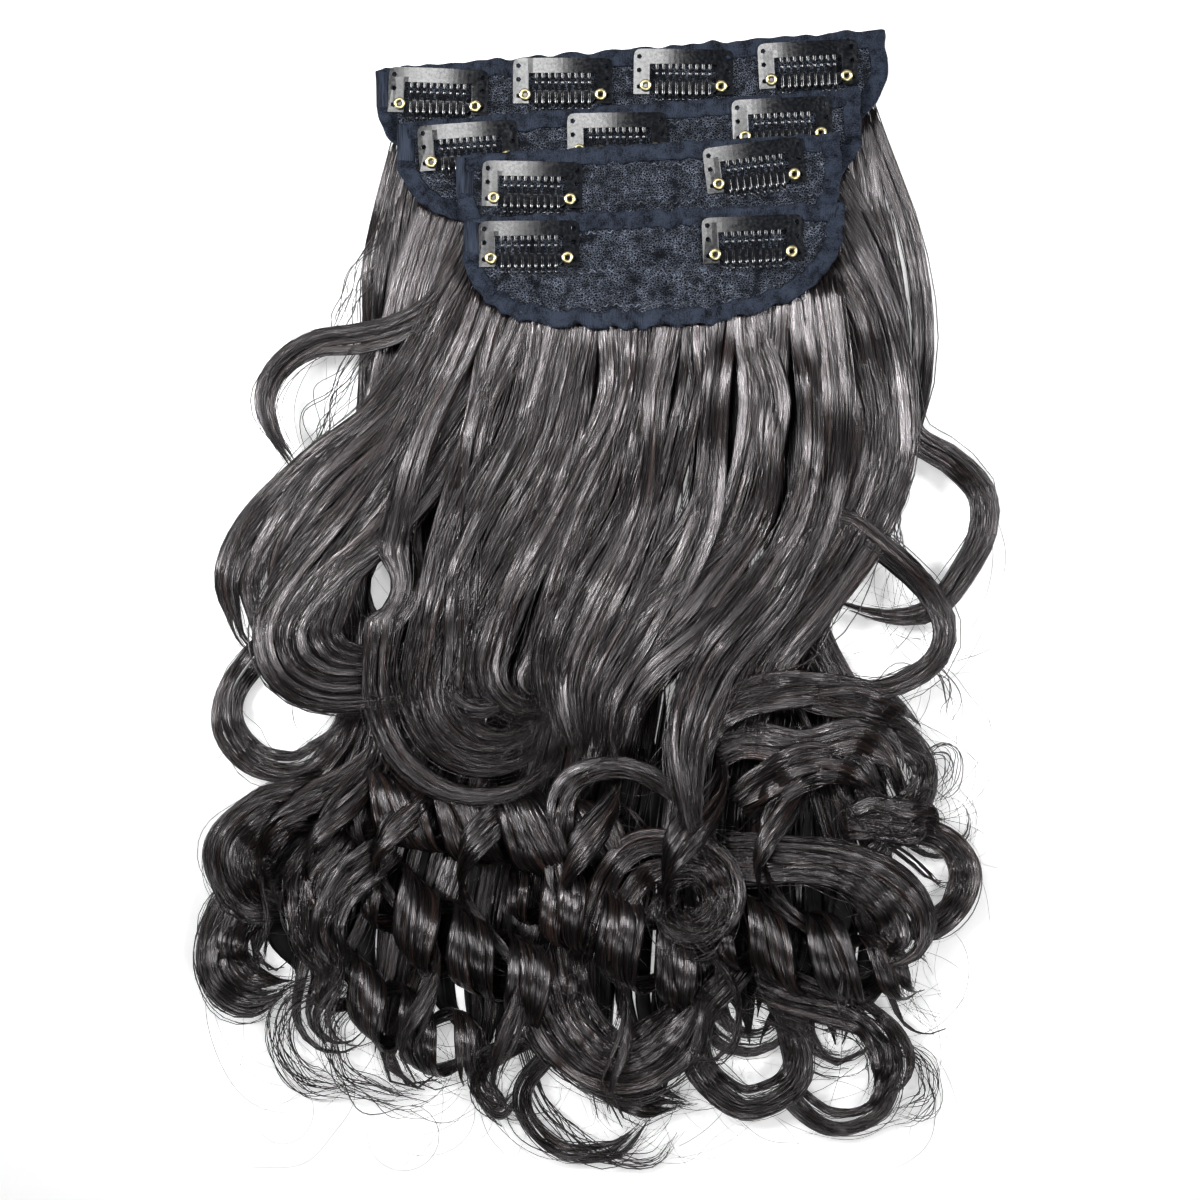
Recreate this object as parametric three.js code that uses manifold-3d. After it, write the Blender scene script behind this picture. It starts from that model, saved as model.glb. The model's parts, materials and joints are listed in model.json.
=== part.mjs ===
// A layered clip-in hair extension lying clip side up: four wefts of curled hair,
// each sewn under a bound lace panel that carries two to four snap clips.
// Millimetres, +X across the wefts, +Y from the curls towards the clips, +Z up from the table.

import * as THREE from "three";
import { mergeVertices } from "three/addons/utils/BufferGeometryUtils.js";
import Module from "manifold-3d";

// Every weft lies one tier above the weft before it
const TIER = 8;
const GAP = 0.3;

// Heights above the tier's own base
const ROOT_TOP = 4.7;
const LACE_UNDER = ROOT_TOP + GAP;
const LACE_THICK = 1.0;
const LACE_TOP = LACE_UNDER + LACE_THICK;
const TAPE_THICK = 0.8;
const TAPE_TOP = LACE_TOP + GAP + TAPE_THICK;
const CLIP_SEAT = TAPE_TOP + GAP;

// Lace panel and binding
const SQUARE_ENDS = [3.5, 3.5];
const SLOPING_ENDS = [3.2, 2.5];
const PANEL_END = 0.995;
const PANEL_COLUMNS = 12;
const PANEL_ROWS = 2;
const PANEL_TOP_SHARES = [1, 0.5, 0, -0.5, -1];
const CORNER_LIMIT = 0.6;
const TAPE_WIDTH = 6;
const RUFFLE_LENGTH = 34;
const RUFFLE_FROM = 0.55;

// Hair root slab under the panel, measured from the panel's top edge and sides
const SLAB_FROM = 15;
const SLAB_LEAST = 17;
const SLAB_INSET = 5;
const ROOT_DEPTH = 28;

// Snap clip: v runs up from the line of the two eyelets
const PLATE = { width: 40, top: 14.8, bottom: -3.4, bar: 6, ear: 6.4, corner: 3, thick: 0.6 };
const SEW_HOLE = { radius: 1.1, inset: 2.2, heights: [11.7, 6.2, -0.4], sides: 5 };
const EYELET = { spread: 30.4, bore: 0.9, barrel: 1.3, flange: 2.4, rise: 2.45, lip: 0.5, sides: 7 };
const COMB = { teeth: 9, pitch: 2.66, tooth: 1.4, top: 8.4, upper: 2, lower: -3.2, low: -6.4 };
const COMB_END = { waist: 12.6, reach: 14.6, half: 1.6, notch: 13.2 };
const COMB_THICK = 0.6;
const COMB_AXIS = PLATE.thick + 1.2;
const TIP_LIFT = 1.3;

// The wefts from the lowest up: where the middle of the top edge lies, its slope, and its clips.
// A clip's across and below run from that middle to the middle of its eyelet line.
// The rounding of a panel's left and right lower corners is the power of a superellipse.
const WEFTS = [
  {
    rounding: SQUARE_ENDS,
    width: 206, depth: 45, middle: [11.6, 221], slope: 4.5, ruffle: 0.3,
    clips: [
      { across: -78.5, below: 15.8, turn: -6.8 },
      { across: -27.9, below: 15.6, turn: -4.5 },
      { across: 20.7, below: 15.9, turn: -5.3 },
      { across: 71.3, below: 16.6, turn: -1.5 },
    ],
  },
  {
    rounding: SQUARE_ENDS,
    width: 186, depth: 45, middle: [10.8, 197.4], slope: 4.3, ruffle: 0.3,
    clips: [
      { across: -64.6, below: 16.2, turn: -0.3 },
      { across: -5.1, below: 16.7, turn: -3.5 },
      { across: 61.4, below: 15.8, turn: -1.7 },
    ],
  },
  {
    rounding: SQUARE_ENDS,
    width: 153, depth: 45, middle: [18.8, 181], slope: 3.3, ruffle: 0.3,
    clips: [
      { across: -47.1, below: 18.3, turn: -4.6 },
      { across: 42.7, below: 15.8, turn: 4 },
    ],
  },
  {
    rounding: SLOPING_ENDS,
    width: 151, depth: 45, middle: [20.8, 153.8], slope: 2.4, ruffle: 1.4,
    clips: [
      { across: -49.6, below: 16.1, turn: -1.9 },
      { across: 39.3, below: 17.9, turn: 0 },
    ],
  },
];

// The locks of each weft: where the root lies across the weft, its width, the radius and turns of its
// corkscrew, the radius and degrees of its end curl (positive to the left as the hair runs),
// and the bends that it passes through
const LOCKS = [
  [
    {
      across: -90, width: 14, curl: [20, 200],
      bends: [[-90, 140], [-92, 100], [-96, 56], [-114, 14], [-137, -16], [-149, -40]],
    },
    {
      across: -78, width: 30, curl: [12, 200],
      bends: [[-88, 110], [-92, 20], [-112, -60], [-134, -100], [-142, -138]],
    },
    { across: -56, width: 30, curl: [15, 220], bends: [[-64, 100], [-72, 0], [-96, -90], [-118, -162]] },
    { across: -30, width: 30, curl: [14, 200], bends: [[-36, 90], [-46, -20], [-70, -110], [-86, -180]] },
    { across: -4, width: 30, curl: [15, 160], bends: [[-8, 90], [-16, -30], [-36, -120], [-46, -196]] },
    { across: 22, width: 30, curl: [28, 60], bends: [[20, 90], [14, -30], [-2, -120], [0, -198]] },
    { across: 46, width: 28, curl: [16, 280], bends: [[52, 90], [44, -30], [34, -110], [46, -164]] },
    { across: 68, width: 28, curl: [18, 270], bends: [[84, 90], [74, -30], [68, -110], [80, -174]] },
    {
      across: 84, width: 26, curl: [12, 150],
      bends: [[110, 100], [97, 40], [76, 4], [76, -20], [92, -66], [112, -132], [122, -164]],
    },
    {
      across: 93, width: 18, curl: [14, 270],
      bends: [[121, 140], [123, 84], [106, 40], [83, 4], [84, -16], [104, -54], [125, -94]],
    },
  ],
  [
    {
      across: -76, width: 17, coil: [8, 2], curl: [12, 150],
      bends: [[-84, 100], [-104, 20], [-116, -60], [-132, -104], [-142, -138]],
    },
    {
      across: -56, width: 20, coil: [10, 2.2], curl: [13, 160],
      bends: [[-78, 60], [-94, -40], [-104, -100], [-112, -158]],
    },
    {
      across: -34, width: 20, coil: [10, 2.4], curl: [13, 140],
      bends: [[-54, 40], [-70, -50], [-80, -110], [-72, -176]],
    },
    {
      across: -10, width: 20, coil: [10, 2.5], curl: [13, 150],
      bends: [[-22, 30], [-38, -56], [-46, -120], [-34, -190]],
    },
    {
      across: 14, width: 20, coil: [10, 2.4], curl: [14, 140],
      bends: [[14, 20], [0, -60], [-4, -124], [8, -190]],
    },
    {
      across: 36, width: 20, coil: [10, 2.2], curl: [14, -160],
      bends: [[50, 30], [40, -56], [36, -116], [48, -170]],
    },
    {
      across: 58, width: 20, coil: [10, 2.2], curl: [13, 170],
      bends: [[84, 40], [76, -46], [72, -100], [90, -160]],
    },
    {
      across: 72, width: 17, coil: [8, 2], curl: [12, 170],
      bends: [[108, 60], [94, 28], [78, -2], [82, -24], [98, -62], [124, -112]],
    },
    {
      across: 80, width: 9,
      bends: [
        [116, 130], [122, 92], [126, 68], [142, 56], [153, 43], [153, 28],
        [146, 14], [133, -2], [117, -5], [100, -1], [90, 4],
      ],
    },
  ],
  [
    {
      across: -70, width: 9,
      bends: [
        [-62, 122], [-80, 110], [-96, 105], [-113, 102], [-126, 93],
        [-132, 80], [-129, 66], [-122, 53], [-114, 42],
      ],
    },
    {
      across: -64, width: 18, curl: [14, 60],
      bends: [[-66, 108], [-88, 76], [-112, 54], [-131, 32], [-142, 10], [-140, -8]],
    },
    { across: -58, width: 28, bends: [[-62, 96], [-84, 64], [-106, 42], [-124, 18], [-129, -4]] },
    {
      across: -48, width: 26,
      bends: [
        [-58, 88], [-74, 58], [-92, 34], [-108, 17], [-120, 3], [-127, -11],
        [-124, -25], [-113, -33], [-98, -35], [-80, -33],
      ],
    },
    { across: 50, width: 28, bends: [[94, 100], [102, 66], [94, 30], [68, 0], [42, -20], [24, -44]] },
    { across: 66, width: 22, bends: [[112, 110], [118, 68], [108, 34], [88, 4], [66, -24], [56, -56]] },
    {
      across: 71, width: 8,
      bends: [
        [106, 100], [92, 44], [104, 32], [118, 20], [132, 6], [139, -8],
        [138, -20], [130, -30], [114, -37], [96, -36], [70, -40],
      ],
    },
  ],
  [
    { across: -58, width: 30, curl: [38, 165], bends: [[-50, 80], [-66, 24], [-76, -28]] },
    { across: -38, width: 30, curl: [27, 165], bends: [[-24, 72], [-46, 30], [-62, -8], [-66, -24]] },
    { across: -16, width: 30, curl: [18, 150], bends: [[0, 72], [-16, 32], [-34, 0], [-42, -22]] },
    { across: 6, width: 30, bends: [[24, 66], [14, 28], [-4, -4], [-14, -32], [-8, -62]] },
    { across: 28, width: 30, bends: [[46, 66], [40, 28], [20, -8], [2, -36], [-2, -64]] },
    { across: 48, width: 30, bends: [[70, 70], [66, 32], [44, 0], [22, -28], [8, -64]] },
    {
      across: 63, width: 22, curl: [38, 50],
      bends: [[90, 80], [86, 40], [70, 6], [46, -24], [36, -54], [38, -80]],
    },
  ],
];

// How a lock is drawn: line steps, sections along it, and its thickness at root and free length
const LINE_STEPS = 160;
const LOCK_SECTIONS = 5;
const TURN_PER_SECTION = 1.0;
const ROOT_HALF = 1.9;
const LOCK_HALF = 3.2;
const LOCK_SECTION = [[1, -1], [0.8, 0.4], [0, 1], [-0.8, 0.4], [-1, -1]];
const LOCK_TAPER = 0.5;
const TAPER_FROM = 0.72;
const CURL_TIGHTENS = 0.35;
const COIL_FROM = 0.45;
const COIL_FULL = 0.8;
const FREE_FROM = 0.05;
const FREE_FULL = 0.2;
const LOW_CURLS = { from: -62, to: -104, rise: 4, lift: 0.45 };

// Finishes: colour, roughness and metalness
const HAIR_FINISH = ["#3a3230", 0.4, 0];
const LACE_FINISH = ["#22252c", 0.85, 0];
const TAPE_FINISH = ["#1c1f26", 0.8, 0];
const CLIP_FINISH = ["#0c0d10", 0.22, 0.1];
const EYELET_FINISH = ["#d8c68a", 0.3, 0.9];

const UP = new THREE.Vector3(0, 0, 1);
const NONE = [0, 0];
const WELD = 1e-4;
const CORNER_SEGMENTS = 3;

const wasm = await Module();
wasm.setup();

function finish([color, roughness, metalness]) {
  return new THREE.MeshStandardMaterial({ color, roughness, metalness });
}

function named(name, geometry, material) {
  const mesh = new THREE.Mesh(geometry, material);
  mesh.name = name;
  return mesh;
}

function smoothstep(from, to, value) {
  return THREE.MathUtils.smoothstep((value - from) / (to - from), 0, 1);
}

// A closed body skinned over rings of equal length; a loop joins the last ring to the first,
// and otherwise each end ring is closed by a zip of quads across it
function skin(rings, loop) {
  const size = rings[0].length;
  const positions = rings.flat().flatMap((point) => point.toArray());
  const faces = [];
  const quad = (a, b, c, d) => faces.push(a, b, c, a, c, d);
  const bands = loop ? rings.length : rings.length - 1;
  for (let band = 0; band < bands; band += 1) {
    const near = band * size;
    const far = ((band + 1) % rings.length) * size;
    for (let k = 0; k < size; k += 1) {
      const next = (k + 1) % size;
      quad(near + k, near + next, far + next, far + k);
    }
  }
  if (!loop) {
    const last = (rings.length - 1) * size;
    for (let k = 0; k < (size - 2) / 2; k += 1) {
      const other = size - 1 - k;
      if (k + 1 < other - 1) {
        quad(other, other - 1, k + 1, k);
        quad(last + k, last + k + 1, last + other - 1, last + other);
      } else {
        faces.push(other, k + 1, k, last + k, last + k + 1, last + other);
      }
    }
  }
  return outward(positions, faces);
}

// The geometry of a closed body, with its faces turned outward
function outward(positions, faces) {
  const corner = (index) => new THREE.Vector3().fromArray(positions, 3 * index);
  let volume = 0;
  for (let f = 0; f < faces.length; f += 3) {
    const cross = corner(faces[f + 1]).cross(corner(faces[f + 2]));
    volume += corner(faces[f]).dot(cross);
  }
  const geometry = new THREE.BufferGeometry();
  geometry.setAttribute("position", new THREE.Float32BufferAttribute(positions, 3));
  geometry.setIndex(volume < 0 ? faces.toReversed() : faces);
  return geometry;
}

function solidOf(geometry) {
  const bare = geometry.clone();
  bare.deleteAttribute("normal");
  bare.deleteAttribute("uv");
  const merged = mergeVertices(bare, WELD);
  const vertProperties = new Float32Array(merged.attributes.position.array);
  const triVerts = new Uint32Array(merged.index.array);
  return new wasm.Manifold(new wasm.Mesh({ numProp: 3, vertProperties, triVerts }));
}

function geometryOf(solid) {
  const mesh = solid.getMesh();
  const geometry = new THREE.BufferGeometry();
  geometry.setAttribute("position", new THREE.Float32BufferAttribute(mesh.vertProperties, 3));
  geometry.setIndex(new THREE.Uint32BufferAttribute(mesh.triVerts, 1));
  return geometry;
}

// Panel depth at a share of its half width: a straight top over a superellipse
function panelDepth(weft, share) {
  const rounding = weft.rounding[share < 0 ? 0 : 1];
  return weft.depth * (1 - Math.abs(share) ** rounding) ** (1 / rounding);
}

// The shares of the half width where the panel's columns stand, closer together near the ends
function panelShares() {
  const columns = Array.from({ length: PANEL_COLUMNS + 1 }, (_, i) => i / PANEL_COLUMNS);
  return columns.map((column) => -PANEL_END * Math.cos(Math.PI * column));
}

// Soft ruffles lift the lower part of the panel
function ruffle(weft, x, depth) {
  const swell = 0.5 + 0.5 * Math.sin((2 * Math.PI * x) / RUFFLE_LENGTH);
  return weft.ruffle * swell * smoothstep(RUFFLE_FROM, 1, depth / weft.depth);
}

function laceGeometry(weft) {
  const rings = panelShares().map((share) => {
    const x = (share * weft.width) / 2;
    const step = panelDepth(weft, share) / PANEL_ROWS;
    const depths = Array.from({ length: PANEL_ROWS + 1 }, (_, j) => j * step);
    const row = (height) => depths.map((d) => new THREE.Vector3(x, -d, height + ruffle(weft, x, d)));
    return [...row(LACE_TOP), ...row(LACE_UNDER).reverse()];
  });
  return skin(rings, false);
}

// The panel's outline as corner points, anticlockwise from the top left
function panelOutline(weft) {
  const lower = panelShares().map((share) => {
    return new THREE.Vector2((share * weft.width) / 2, -panelDepth(weft, share));
  });
  const upper = PANEL_TOP_SHARES.map((share) => {
    return new THREE.Vector2((PANEL_END * share * weft.width) / 2, 0);
  });
  return [...lower, ...upper];
}

// The inward direction at each outline point, lengthened at a corner so that offsets stay parallel
function inwardAt(outline, i) {
  const before = outline[(i + outline.length - 1) % outline.length];
  const here = outline[i];
  const after = outline[(i + 1) % outline.length];
  const normalOf = (from, to) => new THREE.Vector2(from.y - to.y, to.x - from.x).normalize();
  const first = normalOf(before, here);
  const second = normalOf(here, after);
  const middle = first.clone().add(second).normalize();
  return middle.multiplyScalar(1 / Math.max(CORNER_LIMIT, middle.dot(first)));
}

// Tape folded over the panel's edge: a flange on the lace and a lip down its edge
function bindingGeometry(weft) {
  const lip = GAP + TAPE_THICK;
  const section = [
    [-lip, LACE_UNDER],
    [-lip, TAPE_TOP],
    [TAPE_WIDTH, TAPE_TOP],
    [TAPE_WIDTH, LACE_TOP + GAP],
    [-GAP, LACE_TOP + GAP],
    [-GAP, LACE_UNDER],
  ];
  const outline = panelOutline(weft);
  const rings = outline.map((point, i) => {
    const inward = inwardAt(outline, i);
    return section.map(([inset, height]) => {
      const at = point.clone().addScaledVector(inward, inset);
      return new THREE.Vector3(at.x, at.y, height + ruffle(weft, at.x, -at.y));
    });
  });
  return skin(rings, true);
}

// The slab that gathers the hair's roots under the lace
function slabGeometry(weft) {
  const rings = panelShares().map((share) => {
    const inset = 1 - (2 * SLAB_INSET) / weft.width;
    const x = (share * inset * weft.width) / 2;
    const low = -Math.max(SLAB_LEAST, panelDepth(weft, share) - SLAB_INSET);
    return [
      new THREE.Vector3(x, -SLAB_FROM, ROOT_TOP),
      new THREE.Vector3(x, low, ROOT_TOP),
      new THREE.Vector3(x, low, 0),
      new THREE.Vector3(x, -SLAB_FROM, 0),
    ];
  });
  return skin(rings, false);
}

// A lock's middle line seen from above: a smooth curve through its root and bends,
// then an arc that tightens as it goes for the end curl
function planLine(root, lock) {
  const points = [root, ...lock.bends.map(([x, y]) => new THREE.Vector3(x, y, 0))];
  const curve = new THREE.CatmullRomCurve3(points, false, "catmullrom", 0.5);
  const line = curve.getSpacedPoints(LINE_STEPS);
  const [radius, degrees] = lock.curl ?? NONE;
  const heading = curve.getTangent(1);
  const turn = THREE.MathUtils.degToRad(degrees) / LINE_STEPS;
  const spot = line.at(-1).clone();
  for (let i = 0; degrees !== 0 && i < LINE_STEPS; i += 1) {
    const tightening = 1 - (CURL_TIGHTENS * i) / LINE_STEPS;
    spot.addScaledVector(heading, radius * tightening * Math.abs(turn));
    heading.applyAxisAngle(UP, turn);
    line.push(spot.clone());
  }
  return new THREE.CatmullRomCurve3(line).getSpacedPoints(LINE_STEPS);
}

// The middle line in space: the corkscrew swings it from side to side and up and down
function lockLine(tier, root, lock) {
  const plan = planLine(root, lock);
  const [radius, turns] = lock.coil ?? NONE;
  const floor = tier * TIER;
  return plan.map((point, i) => {
    const along = i / LINE_STEPS;
    const swing = radius * smoothstep(COIL_FROM, COIL_FULL, along);
    const angle = 2 * Math.PI * turns * Math.max(0, (along - COIL_FROM) / (1 - COIL_FROM));
    const ahead = plan[Math.min(i + 1, LINE_STEPS)].clone().sub(plan[Math.max(i - 1, 0)]).normalize();
    const side = new THREE.Vector3(-ahead.y, ahead.x, 0);
    const free = smoothstep(FREE_FROM, FREE_FULL, along);
    const middle = THREE.MathUtils.lerp(ROOT_HALF, LOCK_HALF, free);
    const low = tier === 1 ? smoothstep(LOW_CURLS.from, LOW_CURLS.to, point.y) : 0;
    const lift = low * (LOW_CURLS.rise + LOW_CURLS.lift * swing * Math.sin(angle));
    const clear = tier === 0 ? 0 : GAP;
    const height = floor + clear + middle + lift;
    return point.clone().addScaledVector(side, swing * Math.cos(angle)).setZ(height);
  });
}

// Steps along a line that are even in length and turning together, so that curls get more of them
function sectionSteps(line) {
  const direction = (i) => line[i + 1].clone().sub(line[i]).normalize();
  const measure = [0];
  for (let i = 1; i < LINE_STEPS; i += 1) {
    const turning = direction(i - 1).angleTo(direction(i)) / TURN_PER_SECTION;
    measure.push(measure.at(-1) + turning + LOCK_SECTIONS / LINE_STEPS);
  }
  const count = Math.round(measure.at(-1));
  const steps = [0];
  for (let k = 1; k < count; k += 1) {
    steps.push(measure.findIndex((value) => value >= (k * measure.at(-1)) / count));
  }
  return [...steps, LINE_STEPS];
}

// A lock: a flat five-sided section with a level underside, carried along the middle line
function lockGeometry(tier, root, lock) {
  const line = lockLine(tier, root, lock);
  const rings = sectionSteps(line).map((step) => {
    const along = step / LINE_STEPS;
    const ahead = line[Math.min(step + 1, LINE_STEPS)].clone().sub(line[Math.max(step - 1, 0)]);
    const side = new THREE.Vector3(-ahead.y, ahead.x, 0).normalize();
    const half = (lock.width / 2) * (1 - LOCK_TAPER * smoothstep(TAPER_FROM, 1, along));
    const thick = THREE.MathUtils.lerp(ROOT_HALF, LOCK_HALF, smoothstep(FREE_FROM, FREE_FULL, along));
    return LOCK_SECTION.map(([u, w]) => {
      return line[step].clone().addScaledVector(side, u * half).setZ(line[step].z + w * thick);
    });
  });
  return skin(rings, false);
}

function hairGeometry(tier, weft, place) {
  const slab = slabGeometry(weft).applyMatrix4(place);
  const locks = LOCKS[tier].map((lock) => {
    const root = new THREE.Vector3(lock.across, -ROOT_DEPTH, 0).applyMatrix4(place).setZ(0);
    return lockGeometry(tier, root, lock);
  });
  return geometryOf(locks.map(solidOf).reduce((whole, lock) => whole.add(lock), solidOf(slab)));
}

// The sewn-on plate: a top bar with two ears, and sewing holes down each ear
function plateGeometry() {
  const half = PLATE.width / 2;
  const inner = half - PLATE.ear;
  const barFoot = PLATE.top - PLATE.bar;
  const shape = new THREE.Shape();
  shape.moveTo(-half, PLATE.bottom);
  shape.lineTo(-inner, PLATE.bottom);
  shape.lineTo(-inner, barFoot);
  shape.lineTo(inner, barFoot);
  shape.lineTo(inner, PLATE.bottom);
  shape.lineTo(half, PLATE.bottom);
  shape.lineTo(half, PLATE.top - PLATE.corner);
  shape.quadraticCurveTo(half, PLATE.top, half - PLATE.corner, PLATE.top);
  shape.lineTo(PLATE.corner - half, PLATE.top);
  shape.quadraticCurveTo(-half, PLATE.top, -half, PLATE.top - PLATE.corner);
  for (const side of [-1, 1]) {
    for (const height of SEW_HOLE.heights) {
      shape.holes.push(roundHole(side * (half - SEW_HOLE.inset), height));
    }
  }
  const options = { depth: PLATE.thick, bevelEnabled: false, curveSegments: CORNER_SEGMENTS };
  return new THREE.ExtrudeGeometry(shape, options);
}

function roundHole(x, y) {
  const { radius, sides } = SEW_HOLE;
  const corners = Array.from({ length: sides }, (_, i) => {
    const angle = (2 * Math.PI * i) / sides;
    return new THREE.Vector2(x + radius * Math.cos(angle), y + radius * Math.sin(angle));
  });
  return new THREE.Path(corners);
}

// The comb: a spine notched at both ends round the eyelet barrels, long teeth above it
// and short tips below it that bend up from the lace
function combGeometry() {
  const places = Array.from({ length: COMB.teeth }, (_, i) => COMB.pitch * (i - (COMB.teeth - 1) / 2));
  const tooth = (x, base, end, way) => [
    new THREE.Vector2(x - (way * COMB.tooth) / 2, base),
    new THREE.Vector2(x, end),
    new THREE.Vector2(x + (way * COMB.tooth) / 2, base),
  ];
  const spineEnd = (way) => [
    new THREE.Vector2(way * COMB_END.reach, -way * COMB_END.half),
    new THREE.Vector2(way * COMB_END.notch, 0),
    new THREE.Vector2(way * COMB_END.reach, way * COMB_END.half),
  ];
  const outline = [
    new THREE.Vector2(-COMB_END.waist, COMB.lower),
    ...places.flatMap((x) => tooth(x, COMB.lower, COMB.low, 1)),
    new THREE.Vector2(COMB_END.waist, COMB.lower),
    ...spineEnd(1),
    new THREE.Vector2(COMB_END.waist, COMB.upper),
    ...places.toReversed().flatMap((x) => tooth(x, COMB.upper, COMB.top, -1)),
    new THREE.Vector2(-COMB_END.waist, COMB.upper),
    ...spineEnd(-1),
  ];
  const shape = new THREE.Shape(outline);
  const geometry = new THREE.ExtrudeGeometry(shape, { depth: COMB_THICK, bevelEnabled: false });
  geometry.translate(0, 0, -COMB_THICK / 2);
  const position = geometry.attributes.position;
  for (let i = 0; i < position.count; i += 1) {
    const bend = Math.max(0, (COMB.lower - position.getY(i)) / (COMB.lower - COMB.low));
    position.setZ(i, position.getZ(i) + TIP_LIFT * bend);
  }
  return geometry;
}

// A brass eyelet: a barrel on the ear with a rolled flange above the comb
function eyeletGeometry() {
  const profile = [
    [EYELET.bore, 0],
    [EYELET.barrel, 0],
    [EYELET.barrel, EYELET.rise],
    [EYELET.flange, EYELET.rise + EYELET.lip / 2],
    [EYELET.bore, EYELET.rise + EYELET.lip],
    [EYELET.bore, 0],
  ];
  const points = profile.map(([radius, height]) => new THREE.Vector2(radius, height));
  return new THREE.LatheGeometry(points, EYELET.sides).rotateX(Math.PI / 2);
}

function clipGroup(number, clip) {
  const group = new THREE.Group();
  group.position.set(clip.across, -clip.below, CLIP_SEAT);
  group.rotation.z = THREE.MathUtils.degToRad(clip.turn);
  const black = finish(CLIP_FINISH);
  group.add(named(`clip_${number}_plate`, plateGeometry(), black));
  const comb = named(`clip_${number}_comb`, combGeometry(), black.clone());
  comb.position.z = COMB_AXIS;
  group.add(comb);
  for (const [side, word] of [[-1, "left"], [1, "right"]]) {
    const eyelet = named(`clip_${number}_eyelet_${word}`, eyeletGeometry(), finish(EYELET_FINISH));
    eyelet.position.set((side * EYELET.spread) / 2, 0, PLATE.thick + GAP);
    group.add(eyelet);
  }
  return group;
}

const extension = new THREE.Group();
let clipNumber = 0;
WEFTS.forEach((weft, tier) => {
  const panel = new THREE.Group();
  panel.position.set(...weft.middle, tier * TIER);
  panel.rotation.z = THREE.MathUtils.degToRad(weft.slope);
  panel.updateMatrix();
  panel.add(named(`weft_${tier + 1}_lace`, laceGeometry(weft), finish(LACE_FINISH)));
  panel.add(named(`weft_${tier + 1}_binding`, bindingGeometry(weft), finish(TAPE_FINISH)));
  for (const clip of weft.clips) {
    clipNumber += 1;
    panel.add(clipGroup(clipNumber, clip));
  }
  extension.add(panel);
  const hair = hairGeometry(tier, weft, panel.matrix);
  extension.add(named(`weft_${tier + 1}_hair`, hair, finish(HAIR_FINISH)));
});

// The origin is under the middle of the whole part, on the table
const middle = new THREE.Box3().setFromObject(extension).getCenter(new THREE.Vector3());
extension.position.set(-middle.x, -middle.y, 0);

export default extension;
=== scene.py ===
"""A layered clip-in hair extension lying clip side up: four wefts of curled synthetic hair under bound
lace panels, with eleven snap clips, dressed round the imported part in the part's own frame."""

import json
from collections import namedtuple

import bmesh
import bpy
import numpy as np
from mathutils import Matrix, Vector


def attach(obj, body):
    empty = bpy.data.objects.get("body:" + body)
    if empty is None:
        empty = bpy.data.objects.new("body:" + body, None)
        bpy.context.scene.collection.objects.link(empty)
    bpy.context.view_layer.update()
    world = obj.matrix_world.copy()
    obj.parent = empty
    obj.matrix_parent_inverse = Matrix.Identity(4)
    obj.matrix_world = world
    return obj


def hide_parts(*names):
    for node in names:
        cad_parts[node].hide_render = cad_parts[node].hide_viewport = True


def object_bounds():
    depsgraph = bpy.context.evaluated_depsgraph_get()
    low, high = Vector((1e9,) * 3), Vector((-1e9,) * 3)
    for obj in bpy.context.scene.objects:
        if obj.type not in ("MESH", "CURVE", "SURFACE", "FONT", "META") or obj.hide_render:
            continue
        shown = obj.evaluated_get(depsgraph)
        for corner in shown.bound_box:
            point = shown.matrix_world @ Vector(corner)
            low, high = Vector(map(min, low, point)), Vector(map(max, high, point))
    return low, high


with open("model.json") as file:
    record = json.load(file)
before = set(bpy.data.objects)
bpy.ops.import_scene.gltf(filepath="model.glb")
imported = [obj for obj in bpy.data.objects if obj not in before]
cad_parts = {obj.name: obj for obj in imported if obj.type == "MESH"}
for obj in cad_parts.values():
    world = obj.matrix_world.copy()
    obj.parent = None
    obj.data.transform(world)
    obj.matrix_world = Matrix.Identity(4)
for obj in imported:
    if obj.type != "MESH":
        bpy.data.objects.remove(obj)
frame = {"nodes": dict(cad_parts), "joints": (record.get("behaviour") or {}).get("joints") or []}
CAD_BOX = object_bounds()

bl_info = {
    "name": "Clip-in hair extension",
    "version": (1, 0, 0),
    "blender": (4, 5, 0),
    "location": "3D View > Sidebar > Hair extension",
    "description": "Four curled clip-in wefts with lace panels and snap clips",
    "category": "Object",
}

# Lengths are millimetres until a mesh is made
MM = 0.001
UP = np.array([0.0, 0.0, 1.0])

# Heights of one weft above its own base, each weft one tier above the one before it
TIER = 8.0
GAP = 0.3
LACE_UNDER = 5.0
LACE_TOP = 6.0
PLATE_THICK = 0.6
SNAP_LINE = 1.8

SQUARE_ENDS = (3.5, 3.5)
SLOPING_ENDS = (3.2, 2.5)
TAPE_WIDTH = 6.0
RUFFLE_LENGTH = 34.0
RUFFLE_FROM = 0.55
PLEATS = (-46.0, -31.0, -18.0, 2.0, 16.0, 33.0, 47.0)
PLEAT_SIZES = (0.5, 1.0, 0.6, 1.0, 0.5, 1.0, 0.6)
PLEAT_WIDTH = 2.2
PLEAT_HEIGHT = 1.7
HEM_PULL = 1.6
ROOT_DEPTH = 28.0

Weft = namedtuple("Weft", "width depth middle slope ruffle rounding")
WEFTS = (
    Weft(206, 45, (11.6, 221), 4.5, 0.3, SQUARE_ENDS),
    Weft(186, 45, (10.8, 197.4), 4.3, 0.3, SQUARE_ENDS),
    Weft(153, 45, (18.8, 181), 3.3, 0.3, SQUARE_ENDS),
    Weft(151, 45, (20.8, 153.8), 2.4, 1.4, SLOPING_ENDS),
)
FIRST_CLIP = (-78.5, 15.8)

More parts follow.
